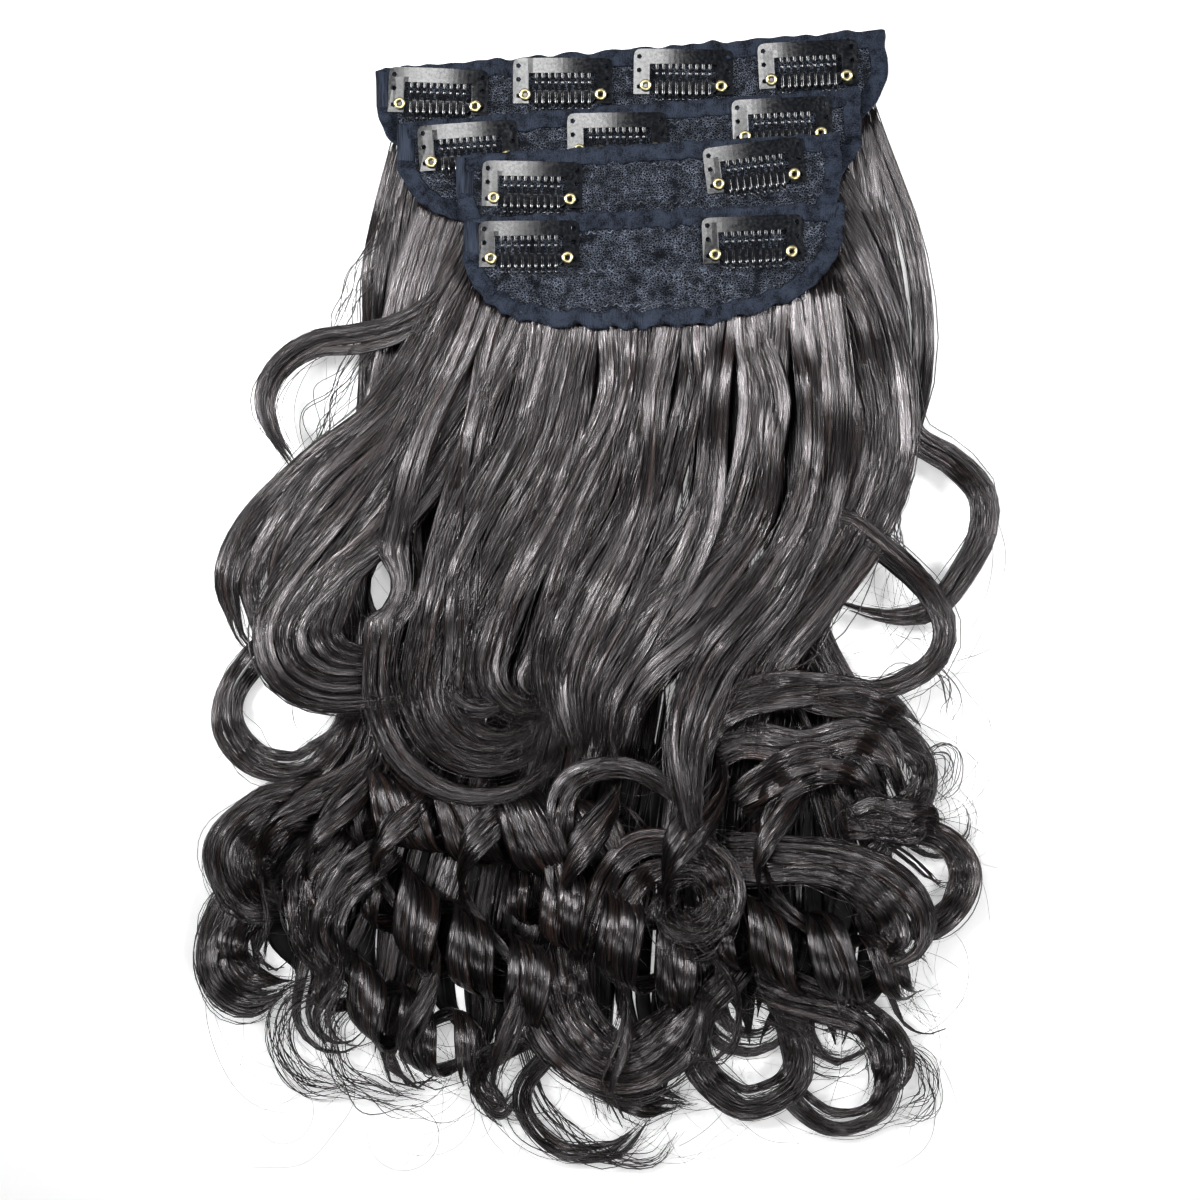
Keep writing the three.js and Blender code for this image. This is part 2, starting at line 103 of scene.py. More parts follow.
# A lock of hair: the weft it hangs from, where its root lies across that weft (or none, where it comes
# out from under other hair), its width, the bends it passes through, its corkscrew's radius and turns
# and where along it that begins, the radius and degrees of its end curl, the height it rests at and how
# far it arches over that, the bands of hair in its corkscrew, and the flat clumps and strands in each band
Lock = namedtuple("Lock", "weft across width bends coil start curl rest arch bands clumps strands")


def lock(weft, across, width, bends, coil=(0, 0), start=0.45, curl=(0, 0), rest=None, arch=0.0, bands=1,
         clumps=6, strands=22):
    """One row of the lock table, with the usual values where a lock has none of its own."""
    return Lock(weft, across, width, bends, coil, start, curl, rest, arch, bands, clumps, strands)


def ringlet(weft, width, bends, radius, turns, rest, bands=2):
    """A row for a corkscrew that lies across other hair and is coiled from end to end."""
    return lock(weft, None, width, bends, (radius, turns), 0, rest=rest, arch=2, bands=bands,
                clumps=4, strands=11)


def under(width, bends):
    """A row for the hair of the lowest weft that lies flat on the floor under the curls, drawn in painted
    shade.
    """
    return lock(0, None, width, bends, rest=1.0, arch=1.0, clumps=round(width / 6), strands=4)


def ribbon(weft, width, bends, rest, arch=5.0, curl=(0, 0)):
    """A row for a loop or flat ribbon of hair that lies across other hair."""
    return lock(weft, None, width, bends, curl=curl, rest=rest, arch=arch, clumps=max(3, round(width / 3)),
                strands=2 * round(width) + 8)


def wisp(width, bends, rest, strands):
    """A row for a few loose hairs that stand clear of the mass."""
    return lock(0, None, width, bends, rest=rest, arch=3, clumps=0, strands=strands)


LOCKS = (
    # Lowest weft: long strips to the lower edge
    lock(0, -90, 14, [(-87, 140), (-89, 100), (-92, 50), (-106, 10), (-118, -20)], clumps=5),
    lock(0, -78, 30, [(-80, 110), (-86, 20), (-92, -40), (-104, -68), (-132, -104), (-142, -138)],
         curl=(12, 200)),
    lock(0, -56, 30, [(-64, 100), (-72, 0), (-96, -90), (-118, -162)], curl=(15, 220)),
    lock(0, -30, 30, [(-36, 90), (-46, -20), (-70, -110), (-86, -180)], curl=(14, 200)),
    lock(0, -4, 30, [(-8, 90), (-16, -30), (-36, -120), (-46, -196)], curl=(15, 160)),
    lock(0, 22, 30, [(20, 90), (14, -30), (-2, -120), (0, -198)], curl=(28, 60)),
    lock(0, 46, 28, [(52, 90), (44, -30), (34, -110), (46, -164)], curl=(16, 280)),
    lock(0, 68, 28, [(84, 90), (74, -30), (68, -110), (80, -174)], curl=(18, 270)),
    lock(0, 84, 26, [(110, 100), (97, 40), (76, 4), (76, -20), (92, -66), (112, -132), (122, -164)],
         curl=(12, 150)),
    lock(0, 87, 18, [(120, 140), (123, 84), (106, 40), (83, 4), (84, -16), (104, -54), (125, -94)],
         curl=(14, 270), clumps=5),
    # Second weft: corkscrews
    lock(1, -76, 17, [(-82, 100), (-94, 20), (-96, -40), (-104, -66), (-130, -104), (-142, -138)], (8, 2),
         curl=(12, 150)),
    lock(1, -56, 20, [(-78, 60), (-94, -40), (-104, -100), (-112, -158)], (10, 2.2), curl=(13, 160)),
    lock(1, -34, 20, [(-54, 40), (-70, -50), (-80, -110), (-72, -176)], (10, 2.4), curl=(13, 140)),
    lock(1, -10, 20, [(-22, 30), (-38, -56), (-46, -120), (-34, -190)], (10, 2.5), curl=(13, 150)),
    lock(1, 14, 20, [(14, 20), (0, -60), (-4, -124), (8, -190)], (10, 2.4), curl=(14, 140)),
    lock(1, 36, 20, [(50, 30), (40, -56), (36, -116), (48, -170)], (10, 2.2), curl=(14, -160)),
    lock(1, 58, 20, [(84, 40), (76, -46), (72, -100), (90, -160)], (10, 2.2), curl=(13, 170)),
    lock(1, 72, 17, [(108, 60), (94, 28), (78, -2), (82, -24), (98, -62), (124, -112)], (8, 2),
         curl=(12, 170)),
    lock(1, 80, 9, [(116, 130), (122, 92), (126, 68), (142, 56), (153, 43), (153, 28), (146, 14), (133, -2),
                    (117, -5), (100, -1), (84, 6)], clumps=4, strands=30),
    # Third weft: side sweeps and loops
    lock(2, -70, 9, [(-62, 122), (-80, 110), (-96, 105), (-113, 102), (-126, 93), (-132, 80), (-129, 66),
                     (-121, 52)], clumps=4, strands=30),
    lock(2, -64, 18, [(-66, 108), (-88, 76), (-112, 54), (-131, 32), (-142, 10), (-140, -8)], curl=(14, 70),
         clumps=8, strands=60),
    lock(2, -58, 30, [(-62, 96), (-84, 64), (-106, 42), (-124, 18), (-128, -8)], arch=1.5, clumps=11,
         strands=80),
    lock(2, -46, 22, [(-56, 84), (-74, 52), (-90, 27), (-102, 10), (-111, -3), (-114, -14), (-108, -24),
                      (-95, -28), (-66, -28)], arch=2.5, clumps=9, strands=70),
    lock(2, -48, 27, [(-58, 88), (-74, 58), (-92, 34), (-108, 17), (-120, 3), (-127, -11), (-124, -25),
                      (-113, -33), (-98, -35), (-66, -33)], arch=4, clumps=12, strands=90),
    lock(2, 50, 28, [(94, 100), (102, 66), (94, 30), (68, 0), (42, -20), (24, -44)], clumps=10, strands=70),
    lock(2, 66, 22, [(112, 110), (118, 68), (108, 34), (88, 4), (66, -24), (56, -56)], clumps=9, strands=60),
    lock(2, 71, 7, [(106, 100), (92, 44), (104, 32), (118, 20), (132, 6), (139, -8), (138, -20), (130, -30),
                    (114, -37), (96, -36), (62, -42)], arch=1, clumps=3, strands=26),
    # Top weft: the front sheet, rolled in at its foot
    lock(3, -58, 30, [(-50, 80), (-66, 24), (-76, -28)], curl=(38, 165), clumps=13, strands=90),
    lock(3, -38, 30, [(-24, 72), (-46, 30), (-62, -8), (-66, -24)], curl=(27, 165), clumps=13, strands=90),
    lock(3, -16, 30, [(0, 72), (-16, 32), (-34, 0), (-42, -22)], curl=(18, 150), clumps=13, strands=90),
    lock(3, 6, 30, [(24, 66), (14, 28), (-4, -4), (-14, -32), (-8, -62)], clumps=13, strands=90),
    lock(3, 28, 30, [(46, 66), (40, 28), (20, -8), (2, -36), (-2, -64)], clumps=13, strands=90),
    lock(3, 48, 30, [(70, 70), (66, 32), (44, 0), (22, -28), (8, -64)], clumps=13, strands=90),
    lock(3, 63, 22, [(90, 80), (86, 40), (70, 6), (46, -24), (36, -54), (38, -80)], curl=(38, 50), clumps=9,
         strands=60),
)

# Hair of the lowest weft in the shade of the curls, drawn near-black as painted shade
UNDERSIDE = (
    under(36, [(-84, -44), (-104, -86), (-120, -124), (-118, -156)]),
    under(40, [(-70, -40), (-82, -90), (-92, -134), (-88, -176)]),
    under(40, [(-34, -40), (-44, -90), (-54, -140), (-46, -190)]),
    under(40, [(4, -40), (-4, -90), (-12, -140), (-6, -196)]),
    under(44, [(38, -36), (34, -90), (30, -140), (24, -204)]),
    under(46, [(72, -30), (66, -80), (64, -130), (62, -180)]),
    under(40, [(98, -38), (98, -80), (98, -130), (98, -184)]),
)

# Hair of the two lower wefts that lies on top of the rest in the lower half
RINGLETS = (
    # Corkscrews row by row
    ringlet(1, 20, [(-106, -80), (-72, -87), (-32, -92), (22, -95)], 15, 2.4, 4),
    ringlet(1, 17, [(-94, -110), (-60, -136), (-28, -154), (-8, -170)], 14, 2.0, 4),
    ringlet(1, 17, [(-36, -108), (-4, -128), (20, -144), (48, -160)], 14, 1.9, 4),
    ringlet(1, 15, [(-114, -146), (-80, -170), (-42, -188)], 12, 1.7, 3),
    ringlet(1, 17, [(44, -130), (80, -142), (108, -146), (134, -152)], 13, 1.8, 3),
    # The ring and two rolls on the left
    ribbon(0, 11, [(-124, -8), (-139, -22), (-148, -37), (-148, -52), (-138, -64), (-122, -67), (-111, -60),
                   (-104, -50), (-94, -40)], 5, 2),
    ribbon(1, 24, [(-110, -80), (-131, -84), (-146, -99), (-141, -116), (-122, -126)], 8, 10),
    ribbon(1, 22, [(-128, -112), (-148, -124), (-153, -142), (-142, -156), (-122, -154)], 6, 9),
    # Arched ribbons on the right
    ribbon(1, 13, [(44, -54), (56, -41), (76, -36), (100, -40), (124, -50), (130, -60)], 14, 7),
    ribbon(1, 12, [(46, -62), (62, -55), (82, -58), (104, -54), (118, -62), (122, -74)], 13, 6),
    ribbon(1, 17, [(56, -84), (70, -73), (84, -67), (100, -70), (112, -82)], 14, 8),
    ribbon(1, 12, [(98, -90), (114, -88), (130, -86), (137, -94)], 13, 6),
    ribbon(1, 11, [(104, -54), (122, -58), (129, -70), (124, -82), (112, -84)], 9, 5),
    ribbon(1, 9, [(96, -37), (72, -37), (53, -43), (41, -56), (37, -71), (40, -86), (52, -100)], 20, 4),
    # Loops and ribbons
    ribbon(0, 15, [(-104, -92), (-116, -112), (-116, -134), (-108, -154)], 16),
    ribbon(0, 15, [(-84, -98), (-98, -112), (-106, -132), (-100, -154)], 17),
    ribbon(0, 28, [(-22, -138), (-16, -164), (-4, -182), (12, -188), (30, -176), (42, -152)], 12, 7),
    ribbon(1, 17, [(-4, -146), (2, -126), (14, -106), (30, -101)], 17, 3, (17, -290)),
    wisp(14, [(18, -128), (24, -112), (38, -110), (45, -122), (38, -132), (28, -126), (34, -116)], 19, 26),
    ribbon(1, 20, [(50, -104), (76, -104), (100, -109), (120, -122), (124, -138), (108, -148)], 16, 6),
    ribbon(0, 18, [(62, -152), (86, -162), (107, -171), (117, -188), (108, -207)], 7, 4),
    ribbon(1, 7, [(36, -80), (11, -68), (-7, -70), (-17, -82), (-18, -106), (-12, -124)], 21, 4),
    ribbon(1, 9, [(108, -104), (120, -94), (138, -96), (148, -108), (144, -124), (130, -134),
                  (114, -130)], 9, 3),
    ribbon(0, 12, [(60, -144), (42, -168), (42, -188), (58, -202), (76, -194), (78, -176), (62, -168)], 8, 4),
    ribbon(0, 9, [(72, -152), (78, -184), (76, -200), (92, -212), (112, -206), (116, -186), (104, -174),
                  (88, -176)], 5, 4),
    ribbon(0, 7, [(-14, -174), (-29, -196), (-27, -212), (-14, -224), (6, -222), (20, -206)], 3, 4),
    ribbon(0, 7, [(-26, -176), (-46, -184), (-49, -198), (-40, -206), (-32, -196)], 5, 3),
    ribbon(0, 12, [(-30, -172), (6, -196), (40, -203)], 8, 4),
    # Sparse wisps round the lower edge
    wisp(11, [(-104, -152), (-124, -162), (-128, -180), (-118, -197), (-92, -197)], 3, 26),
    wisp(9, [(-98, -158), (-107, -172), (-102, -191), (-86, -202), (-68, -204)], 3, 18),
    wisp(5, [(-32, -178), (-24, -200), (-14, -210), (2, -221), (22, -226), (34, -214)], 2, 14),
    wisp(6, [(112, -180), (131, -186), (133, -202), (116, -211)], 3, 14),
    wisp(3, [(128, -88), (131, -66), (140, -62), (142, -74), (132, -86)], 6, 9),
    wisp(2, [(92, -44), (114, -31), (136, -26), (145, -40), (139, -58)], 8, 7),
    wisp(6, [(122, 66), (118, 46), (117, 28), (121, 10)], 10, 14),
    wisp(9, [(-92, 104), (-103, 86), (-112, 68), (-116, 50)], 16, 14),
    wisp(6, [(-84, 156), (-94, 132), (-104, 114), (-108, 100)], 14, 12),
    wisp(5, [(-138, -130), (-154, -146), (-153, -159), (-138, -158)], 4, 14),
)
ROWS = LOCKS + RINGLETS + UNDERSIDE


def smoothstep(low, high, value):
    """The smooth ramp 3t^2 - 2t^3 from 0 at low to 1 at high."""
    t = np.clip((value - low) / (high - low), 0, 1)
    return t * t * (3 - 2 * t)


def unit(vectors):
    """Each vector divided by its own length."""
    return vectors / np.maximum(np.linalg.norm(vectors, axis=-1, keepdims=True), 1e-9)


def drift(rng, count, steps, waves):
    """Smooth wander between about -1 and 1 for each of count lines: a sum of sines of 1 to `waves`
    half turns along the line, each with a random phase and a size that falls as its number."""
    along = np.linspace(0, np.pi, steps)
    number = np.arange(1, waves + 1)
    phase = rng.uniform(0, 2 * np.pi, (count, waves, 1))
    size = rng.normal(0, 1, (count, waves, 1)) / number[None, :, None] ** 0.5
    return (size * np.sin(number[None, :, None] * along + phase)).sum(1) / waves**0.5


def spaced(line, count):
    """The line re-spaced to count points at equal lengths along it."""
    reach = np.concatenate([[0], np.cumsum(np.linalg.norm(np.diff(line, axis=0), axis=1))])
    at = np.linspace(0, reach[-1], count)
    return np.stack([np.interp(at, reach, line[:, k]) for k in range(line.shape[1])], axis=1)


def through(points, count):
    """A uniform Catmull-Rom curve through the points, spaced evenly: on each span the cubic whose slope
    at a point is half the step between its neighbours."""
    p = np.asarray(points, float)
    p = np.vstack([2 * p[0] - p[1], p, 2 * p[-1] - p[-2]])
    spans = len(p) - 3
    t = np.linspace(0, spans, 40 * spans + 1)
    k = np.minimum(t.astype(int), spans - 1)
    t = (t - k)[:, None]
    a, b, c, d = p[k], p[k + 1], p[k + 2], p[k + 3]
    line = 0.5 * (2 * b + (c - a) * t + (2 * a - 5 * b + 4 * c - d) * t**2 + (3 * b - a - 3 * c + d) * t**3)
    return spaced(line, count)


def part_shift():
    """How far the part was moved to stand over its origin: the first clip's snap line as packed, less where
    that line lies as drawn."""
    first = WEFTS[0]
    turn = np.radians(first.slope)
    across, below = FIRST_CLIP
    drawn = np.array(first.middle) + np.array(
        [across * np.cos(turn) + below * np.sin(turn), across * np.sin(turn) - below * np.cos(turn)]
    )
    joint = next(j for j in frame["joints"] if j["name"] == "clip_1_snap")
    return np.array(joint["pos_m"][:2]) / MM - drawn


SHIFT = part_shift()


def on_weft(index, points):
    """Points given across, up and above a weft's top middle, turned by its slope and put in its place."""
    weft = WEFTS[index]
    turn = np.radians(weft.slope)
    x, y, z = points[..., 0], points[..., 1], points[..., 2]
    middle = np.array(weft.middle) + SHIFT
    return np.stack(
        [
            middle[0] + x * np.cos(turn) - y * np.sin(turn),
            middle[1] + x * np.sin(turn) + y * np.cos(turn),
            z + index * TIER,
        ],
        axis=-1,
    )


def panel_depth(weft, share):
    """Depth of a lace panel at a share of its half width: a straight top over a superellipse, whose power is
    the rounding of the left or the right corner."""
    rounding = np.where(share < 0, *weft.rounding)
    return weft.depth * (1 - np.abs(share) ** rounding) ** (1 / rounding)


def pleats(x, width):
    """How far the hem is gathered at a place across it: a row of bells, each with its own size."""
    return sum(size * np.exp(-(((x - place) / width) ** 2)) for place, size in zip(PLEATS, PLEAT_SIZES))


def ruffle(weft, x, depth):
    """Soft ruffles that lift the lower part of a panel: a raised sine across it, and narrow pleats of a bell
    shape where the hem was gathered."""
    low = smoothstep(RUFFLE_FROM, 1, depth / weft.depth)
    swell = 0.5 + 0.5 * np.sin(2 * np.pi * x / RUFFLE_LENGTH)
    return low * (weft.ruffle * swell + PLEAT_HEIGHT * pleats(x, PLEAT_WIDTH))


def gathered(weft, x, depth):
    """Depth below a panel's top after its hem is drawn up at the pleats."""
    return depth - HEM_PULL * smoothstep(RUFFLE_FROM, 1, depth / weft.depth) * pleats(x, 2 * PLEAT_WIDTH)


STEPS = 160
CURL_TIGHTENS = 0.35
LOW_CURLS = (-104.0, -62.0)


def plan_line(row):
    """A lock's middle line seen from above: a smooth curve through its root and bends, then an arc whose
    heading turns evenly and whose radius tightens, for the end curl."""
    bends = [np.array(bend, float) + SHIFT for bend in row.bends]
    if row.across is not None:
        bends.insert(0, on_weft(row.weft, np.array([row.across, -ROOT_DEPTH, 0.0]))[:2])
    line = through(bends, STEPS + 1)
    radius, degrees = row.curl
    if degrees:
        i = np.arange(STEPS)
        turn = np.radians(degrees) / STEPS
        start = line[-1] - line[-2]
        heading = np.arctan2(start[1], start[0]) + turn * i
        step = radius * (1 - CURL_TIGHTENS * i / STEPS) * abs(turn)
        arc = line[-1] + np.cumsum(step[:, None] * np.stack([np.cos(heading), np.sin(heading)], 1), axis=0)
        line = np.vstack([line, arc])
    return spaced(line, STEPS + 1)


WAVE_HEIGHT = (1.4, 1.8, 1.8, 2.2)
WAVE_LENGTH = 70.0
WAVE_FROM = 95.0
WAVE_SLANT = 0.12
RIPPLE_HEIGHT = 1.3
RIPPLE_LENGTH = 28.0
RIPPLE_REST = (1.0, 6.0)
TIP_TAPER = (0.85, 0.85, 0.5, 0.5)
TRESS_WIDTH = 9.0
TRESS_SWAY = (2.5, 2.5, 3.0, 7.0)
COIL_SQUASH = 0.62
PINCHED = 0.25
LOWEST_MIDDLE = 0.9
ROOT_MIDDLE = 2.5
FREE_LIFT = 0.6
SECOND_WEFT_LIFT = 4.0
TRESS_LIFT = 1.2
COIL_GROWTH = 0.22


def lock_lines(row, shares, bands, layers, loose, rng):
    """Lines in space for the members of one lock, and the way each one's flat side faces.
    A member lies at its share of the half width to the side of the lock's middle line, plus the slow sway
    of the tress it belongs to and a little wander of its own. Where the lock corkscrews it circles that
    line instead: sideways by radius times cosine, up by a squashed radius times one plus sine, with its
    share moved along the screw and its band a part turn on. Loose hair also waves gently up and down, and
    hair that lies high across the rest ripples.
    The last array is the share of its width that a member keeps: a band of a corkscrew is broadest on top."""
    plan = plan_line(row)
    count = len(shares)
    along = np.linspace(0, 1, STEPS + 1)
    ahead = unit(np.gradient(plan, axis=0))
    side = np.stack([-ahead[:, 1], ahead[:, 0]], axis=1)
    side_up = np.append(side, np.zeros((len(side), 1)), 1)
    length = np.linalg.norm(np.diff(plan, axis=0), axis=1).sum()
    half = 0.5 * row.width * (1 - TIP_TAPER[row.weft] * smoothstep(0.72, 1, along))
    tresses = max(row.bands, round(row.width / TRESS_WIDTH))
    tress = bands if row.bands > 1 else np.clip((shares + 1) / 2 * tresses, 0, tresses - 1).astype(int)
    shared = np.random.default_rng([ROWS.index(row), len(ROWS)])
    free = smoothstep(0.05, 0.25, along)
    sway = TRESS_SWAY[row.weft] * drift(shared, tresses, STEPS + 1, 3)[tress] * free
    lift = TRESS_LIFT * drift(shared, tresses, STEPS + 1, 4)[tress] * free
    phase = shared.uniform(-0.5, 0.5, (tresses, 1))[tress] + rng.normal(0, 0.04, (count, 1))
    deep = WAVE_HEIGHT[row.weft] * shared.uniform(0.6, 1.15, (tresses, 1))[tress]
    grown = 1 + COIL_GROWTH * drift(shared, tresses, STEPS + 1, 7)[tress]

    radius, turns = row.coil
    if row.start:
        coiled = smoothstep(row.start, min(row.start + 0.2, 1), along) * (radius > 0)
        reach = coiled
    else:
        coiled = np.full_like(along, radius > 0, dtype=float)
        reach = coiled * smoothstep(-0.03, 0.1, along) * (1 - 0.75 * smoothstep(0.87, 1.02, along))
    pitch = length * (1 - row.start) / max(turns, 0.01)
    screwed = turns * np.maximum(0, along - row.start) / (1 - row.start)
    twist = 2 * np.pi * (screwed + bands[:, None] / row.bands)
    pinch = 1 - coiled * (1 - PINCHED) * (1 - np.sin(np.pi / 2 + twist)) / 2
    angle = np.pi / 2 + twist - coiled * 2 * np.pi * shares[:, None] * pinch * half.max() / pitch
    swing = radius * reach * grown * (1 + 0.05 * drift(rng, count, STEPS + 1, 4))
    wander = loose * drift(rng, count, STEPS + 1, 6) * smoothstep(0.08, 0.5, along) * (1 - 0.75 * coiled)
    lateral = shares[:, None] * half * (1 - coiled) + wander
    lateral = lateral + sway * (1 - 0.5 * coiled) + swing * np.cos(angle)
    flat = plan[None] + side[None] * lateral[..., None]

    low = 1 - smoothstep(*LOW_CURLS, plan[:, 1]) if row.rest is None else np.ones_like(along)
    if row.rest is None:
        raised = SECOND_WEFT_LIFT * low if row.weft == 1 else 0
        height = row.weft * TIER + GAP * (row.weft > 0) + ROOT_MIDDLE + FREE_LIFT * free + raised
        height = height + row.arch * smoothstep(0.25, 0.5, along)
    else:
        height = row.rest + row.arch * np.sin(np.pi * along)
    fallen = flat[..., 1] - SHIFT[1] - WAVE_FROM + WAVE_SLANT * flat[..., 0]
    wave = np.sin(2 * np.pi * (fallen / WAVE_LENGTH + phase))
    if row.rest is None:
        swell = deep * wave * smoothstep(0.07, 0.17, along)
    else:
        ripple = RIPPLE_HEIGHT * smoothstep(*RIPPLE_REST, row.rest)
        swell = ripple * np.sin(2 * np.pi * (length * along / RIPPLE_LENGTH + phase))
    height = height + swell * (1 - coiled)
    height = height + layers[:, None] * (0.4 + 0.6 * free) + lift
    height = height + low * swing * (1 + np.sin(angle)) * COIL_SQUASH
    lines = np.concatenate([flat, np.maximum(height, LOWEST_MIDDLE)[..., None]], axis=-1)
    outward = np.cos(angle)[..., None] * side_up + np.sin(angle)[..., None] * UP
    roll = 0.45 * drift(shared, tresses, STEPS + 1, 3)[tress] + 0.2 * drift(rng, count, STEPS + 1, 3)
    faces = (1 - coiled)[:, None] * UP + coiled[:, None] * outward
    return lines, faces + (roll * (1 - coiled))[..., None] * side_up, pinch


def frames_of(lines, faces):
    """At each step of each line, the normal nearest to the wanted facing and the side across it."""
    ahead = unit(np.gradient(lines, axis=-2))
    normal = unit(faces - (faces * ahead).sum(-1, keepdims=True) * ahead)
    return normal, np.cross(ahead, normal)


def carry(lines, faces, widths, depths, profile):
    """A closed profile carried along many lines at once: each point is the line plus the side times half
    width times the profile's across, plus the normal times half depth times the profile's height."""
    normal, side = frames_of(lines, faces)
    across = (widths[..., None] * profile[..., 0])[..., None]
    height = (depths[..., None] * profile[..., 1])[..., None]
    return lines[..., None, :] + side[..., None, :] * across + normal[..., None, :] * height


def cells(rows, columns):
    """The row and column number of every cell of a grid, row by row."""
    i, k = np.meshgrid(np.arange(rows), np.arange(columns), indexing="ij")
    return i.ravel(), k.ravel()


def skin(rings, grain):
    """The closed surfaces over a batch of rings (bodies, steps, points): quads round and along, and a zip of
    quads, or one triangle, over each end. The UV is millimetres round the ring and along the body, with a
    grain number added to the first so that no two bodies share a pattern."""
    bodies, steps, size = rings.shape[:3]
    i, k = cells(steps - 1, size)
    rows = np.stack([i, i, i + 1, i + 1], 1)
    columns = np.stack([k, k + 1, k + 1, k], 1)
    if size > 3:
        z = np.arange(size // 2 - 1)
        zip_end = np.stack([z, z + 1, size - 2 - z, size - 1 - z], 1)
        rows = np.vstack([rows, np.zeros_like(zip_end), np.full_like(zip_end, steps - 1)])
        columns = np.vstack([columns, zip_end[:, ::-1], zip_end])
    start = np.arange(bodies) * steps * size
    quads = (start[:, None, None] + rows * size + columns % size).reshape(-1, 4)
    loop = np.concatenate([rings, rings[:, :, :1]], axis=2)
    round_step = np.linalg.norm(np.diff(loop, axis=2), axis=-1).max(1)
    u = np.concatenate([np.zeros((bodies, 1)), np.cumsum(round_step, 1)], 1) + grain[:, None]
    middle = rings.mean(2)
    v = np.cumsum(np.linalg.norm(np.diff(middle, axis=1, prepend=middle[:, :1]), axis=-1), 1)
    quad_uv = np.stack([u[:, columns], v[:, rows]], -1).reshape(-1, 2)
    tris = np.zeros((0, 3), int)
    tri_uv = np.zeros((0, 2))
    if size == 3:
        ends = np.array([[2, 1, 0], [0, 1, 2]])
        at = np.array([[0], [steps - 1]])
        tris = (start[:, None, None] + at * size + ends).reshape(-1, 3)
        tri_uv = np.stack([u[:, ends], v[:, np.broadcast_to(at, ends.shape)]], -1).reshape(-1, 2)
    return rings.reshape(-1, 3), quads, tris, np.vstack([quad_uv, tri_uv])


def join_surfaces(parts):
    """Several surfaces as one set of points, quads, triangles and UVs."""
    points, quads, tris, quad_uv, tri_uv, base = [], [], [], [], [], 0
    for vertices, four, three, uv in parts:
        points.append(vertices)
        quads.append(four + base)
        tris.append(three + base)
        quad_uv.append(uv[: 4 * len(four)])
        tri_uv.append(uv[4 * len(four):])
        base += len(vertices)
    return np.vstack(points), np.vstack(quads), np.vstack(tris), np.vstack(quad_uv + tri_uv)


def piece(name, surface, material, body):
    """A mesh object at the origin from millimetre points, riding on a body and taking its material."""
    vertices, quads, tris, uv = surface
    mesh = bpy.data.meshes.new(name)
    loops = np.concatenate([quads.ravel(), tris.ravel()])
    starts = np.concatenate([4 * np.arange(len(quads)), 4 * len(quads) + 3 * np.arange(len(tris))])
    mesh.vertices.add(len(vertices))
    mesh.loops.add(len(loops))
    mesh.polygons.add(len(starts))
    mesh.vertices.foreach_set("co", (vertices * MM).astype(np.float32).ravel())
    mesh.loops.foreach_set("vertex_index", loops.astype(np.int32))
    mesh.polygons.foreach_set("loop_start", starts.astype(np.int32))
    mesh.update(calc_edges=True)
    mesh.uv_layers.new(name="grain").data.foreach_set("uv", uv.astype(np.float32).ravel())
    mesh.shade_smooth()
    mesh.materials.append(material)
    made = bpy.data.objects.new(name, mesh)
    bpy.context.scene.collection.objects.link(made)
    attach(made, body)
    return made


def linear(code):
    """An sRGB hex colour as linear red, green, blue and alpha."""
    values = np.array([int(code[i : i + 2], 16) for i in (1, 3, 5)]) / 255
    lit = np.where(values <= 0.04045, values / 12.92, ((values + 0.055) / 1.055) ** 2.4)
    return (*[float(v) for v in lit], 1.0)


def add(tree, kind, settings=None, inputs=None):
    """Adds a node, sets its own settings, then links each input given as a socket and sets the others."""
    node = tree.nodes.new(kind)
    for name, value in (settings or {}).items():
        setattr(node, name, value)
    for name, value in (inputs or {}).items():
        if isinstance(value, bpy.types.NodeSocket):
            tree.links.new(value, node.inputs[name])
        else:
            node.inputs[name].default_value = value
    return node


def new_material(name):
    """An empty node material with its output."""
    material = bpy.data.materials.new(name)
    material.use_nodes = True
    material.node_tree.nodes.clear()
    return material, material.node_tree, material.node_tree.nodes.new("ShaderNodeOutputMaterial")


# The colour sockets of a mix node: its factor, its two colours and the result
MIX_FACTOR = 0
MIX_FROM = 6
MIX_TO = 7
MIXED = 2


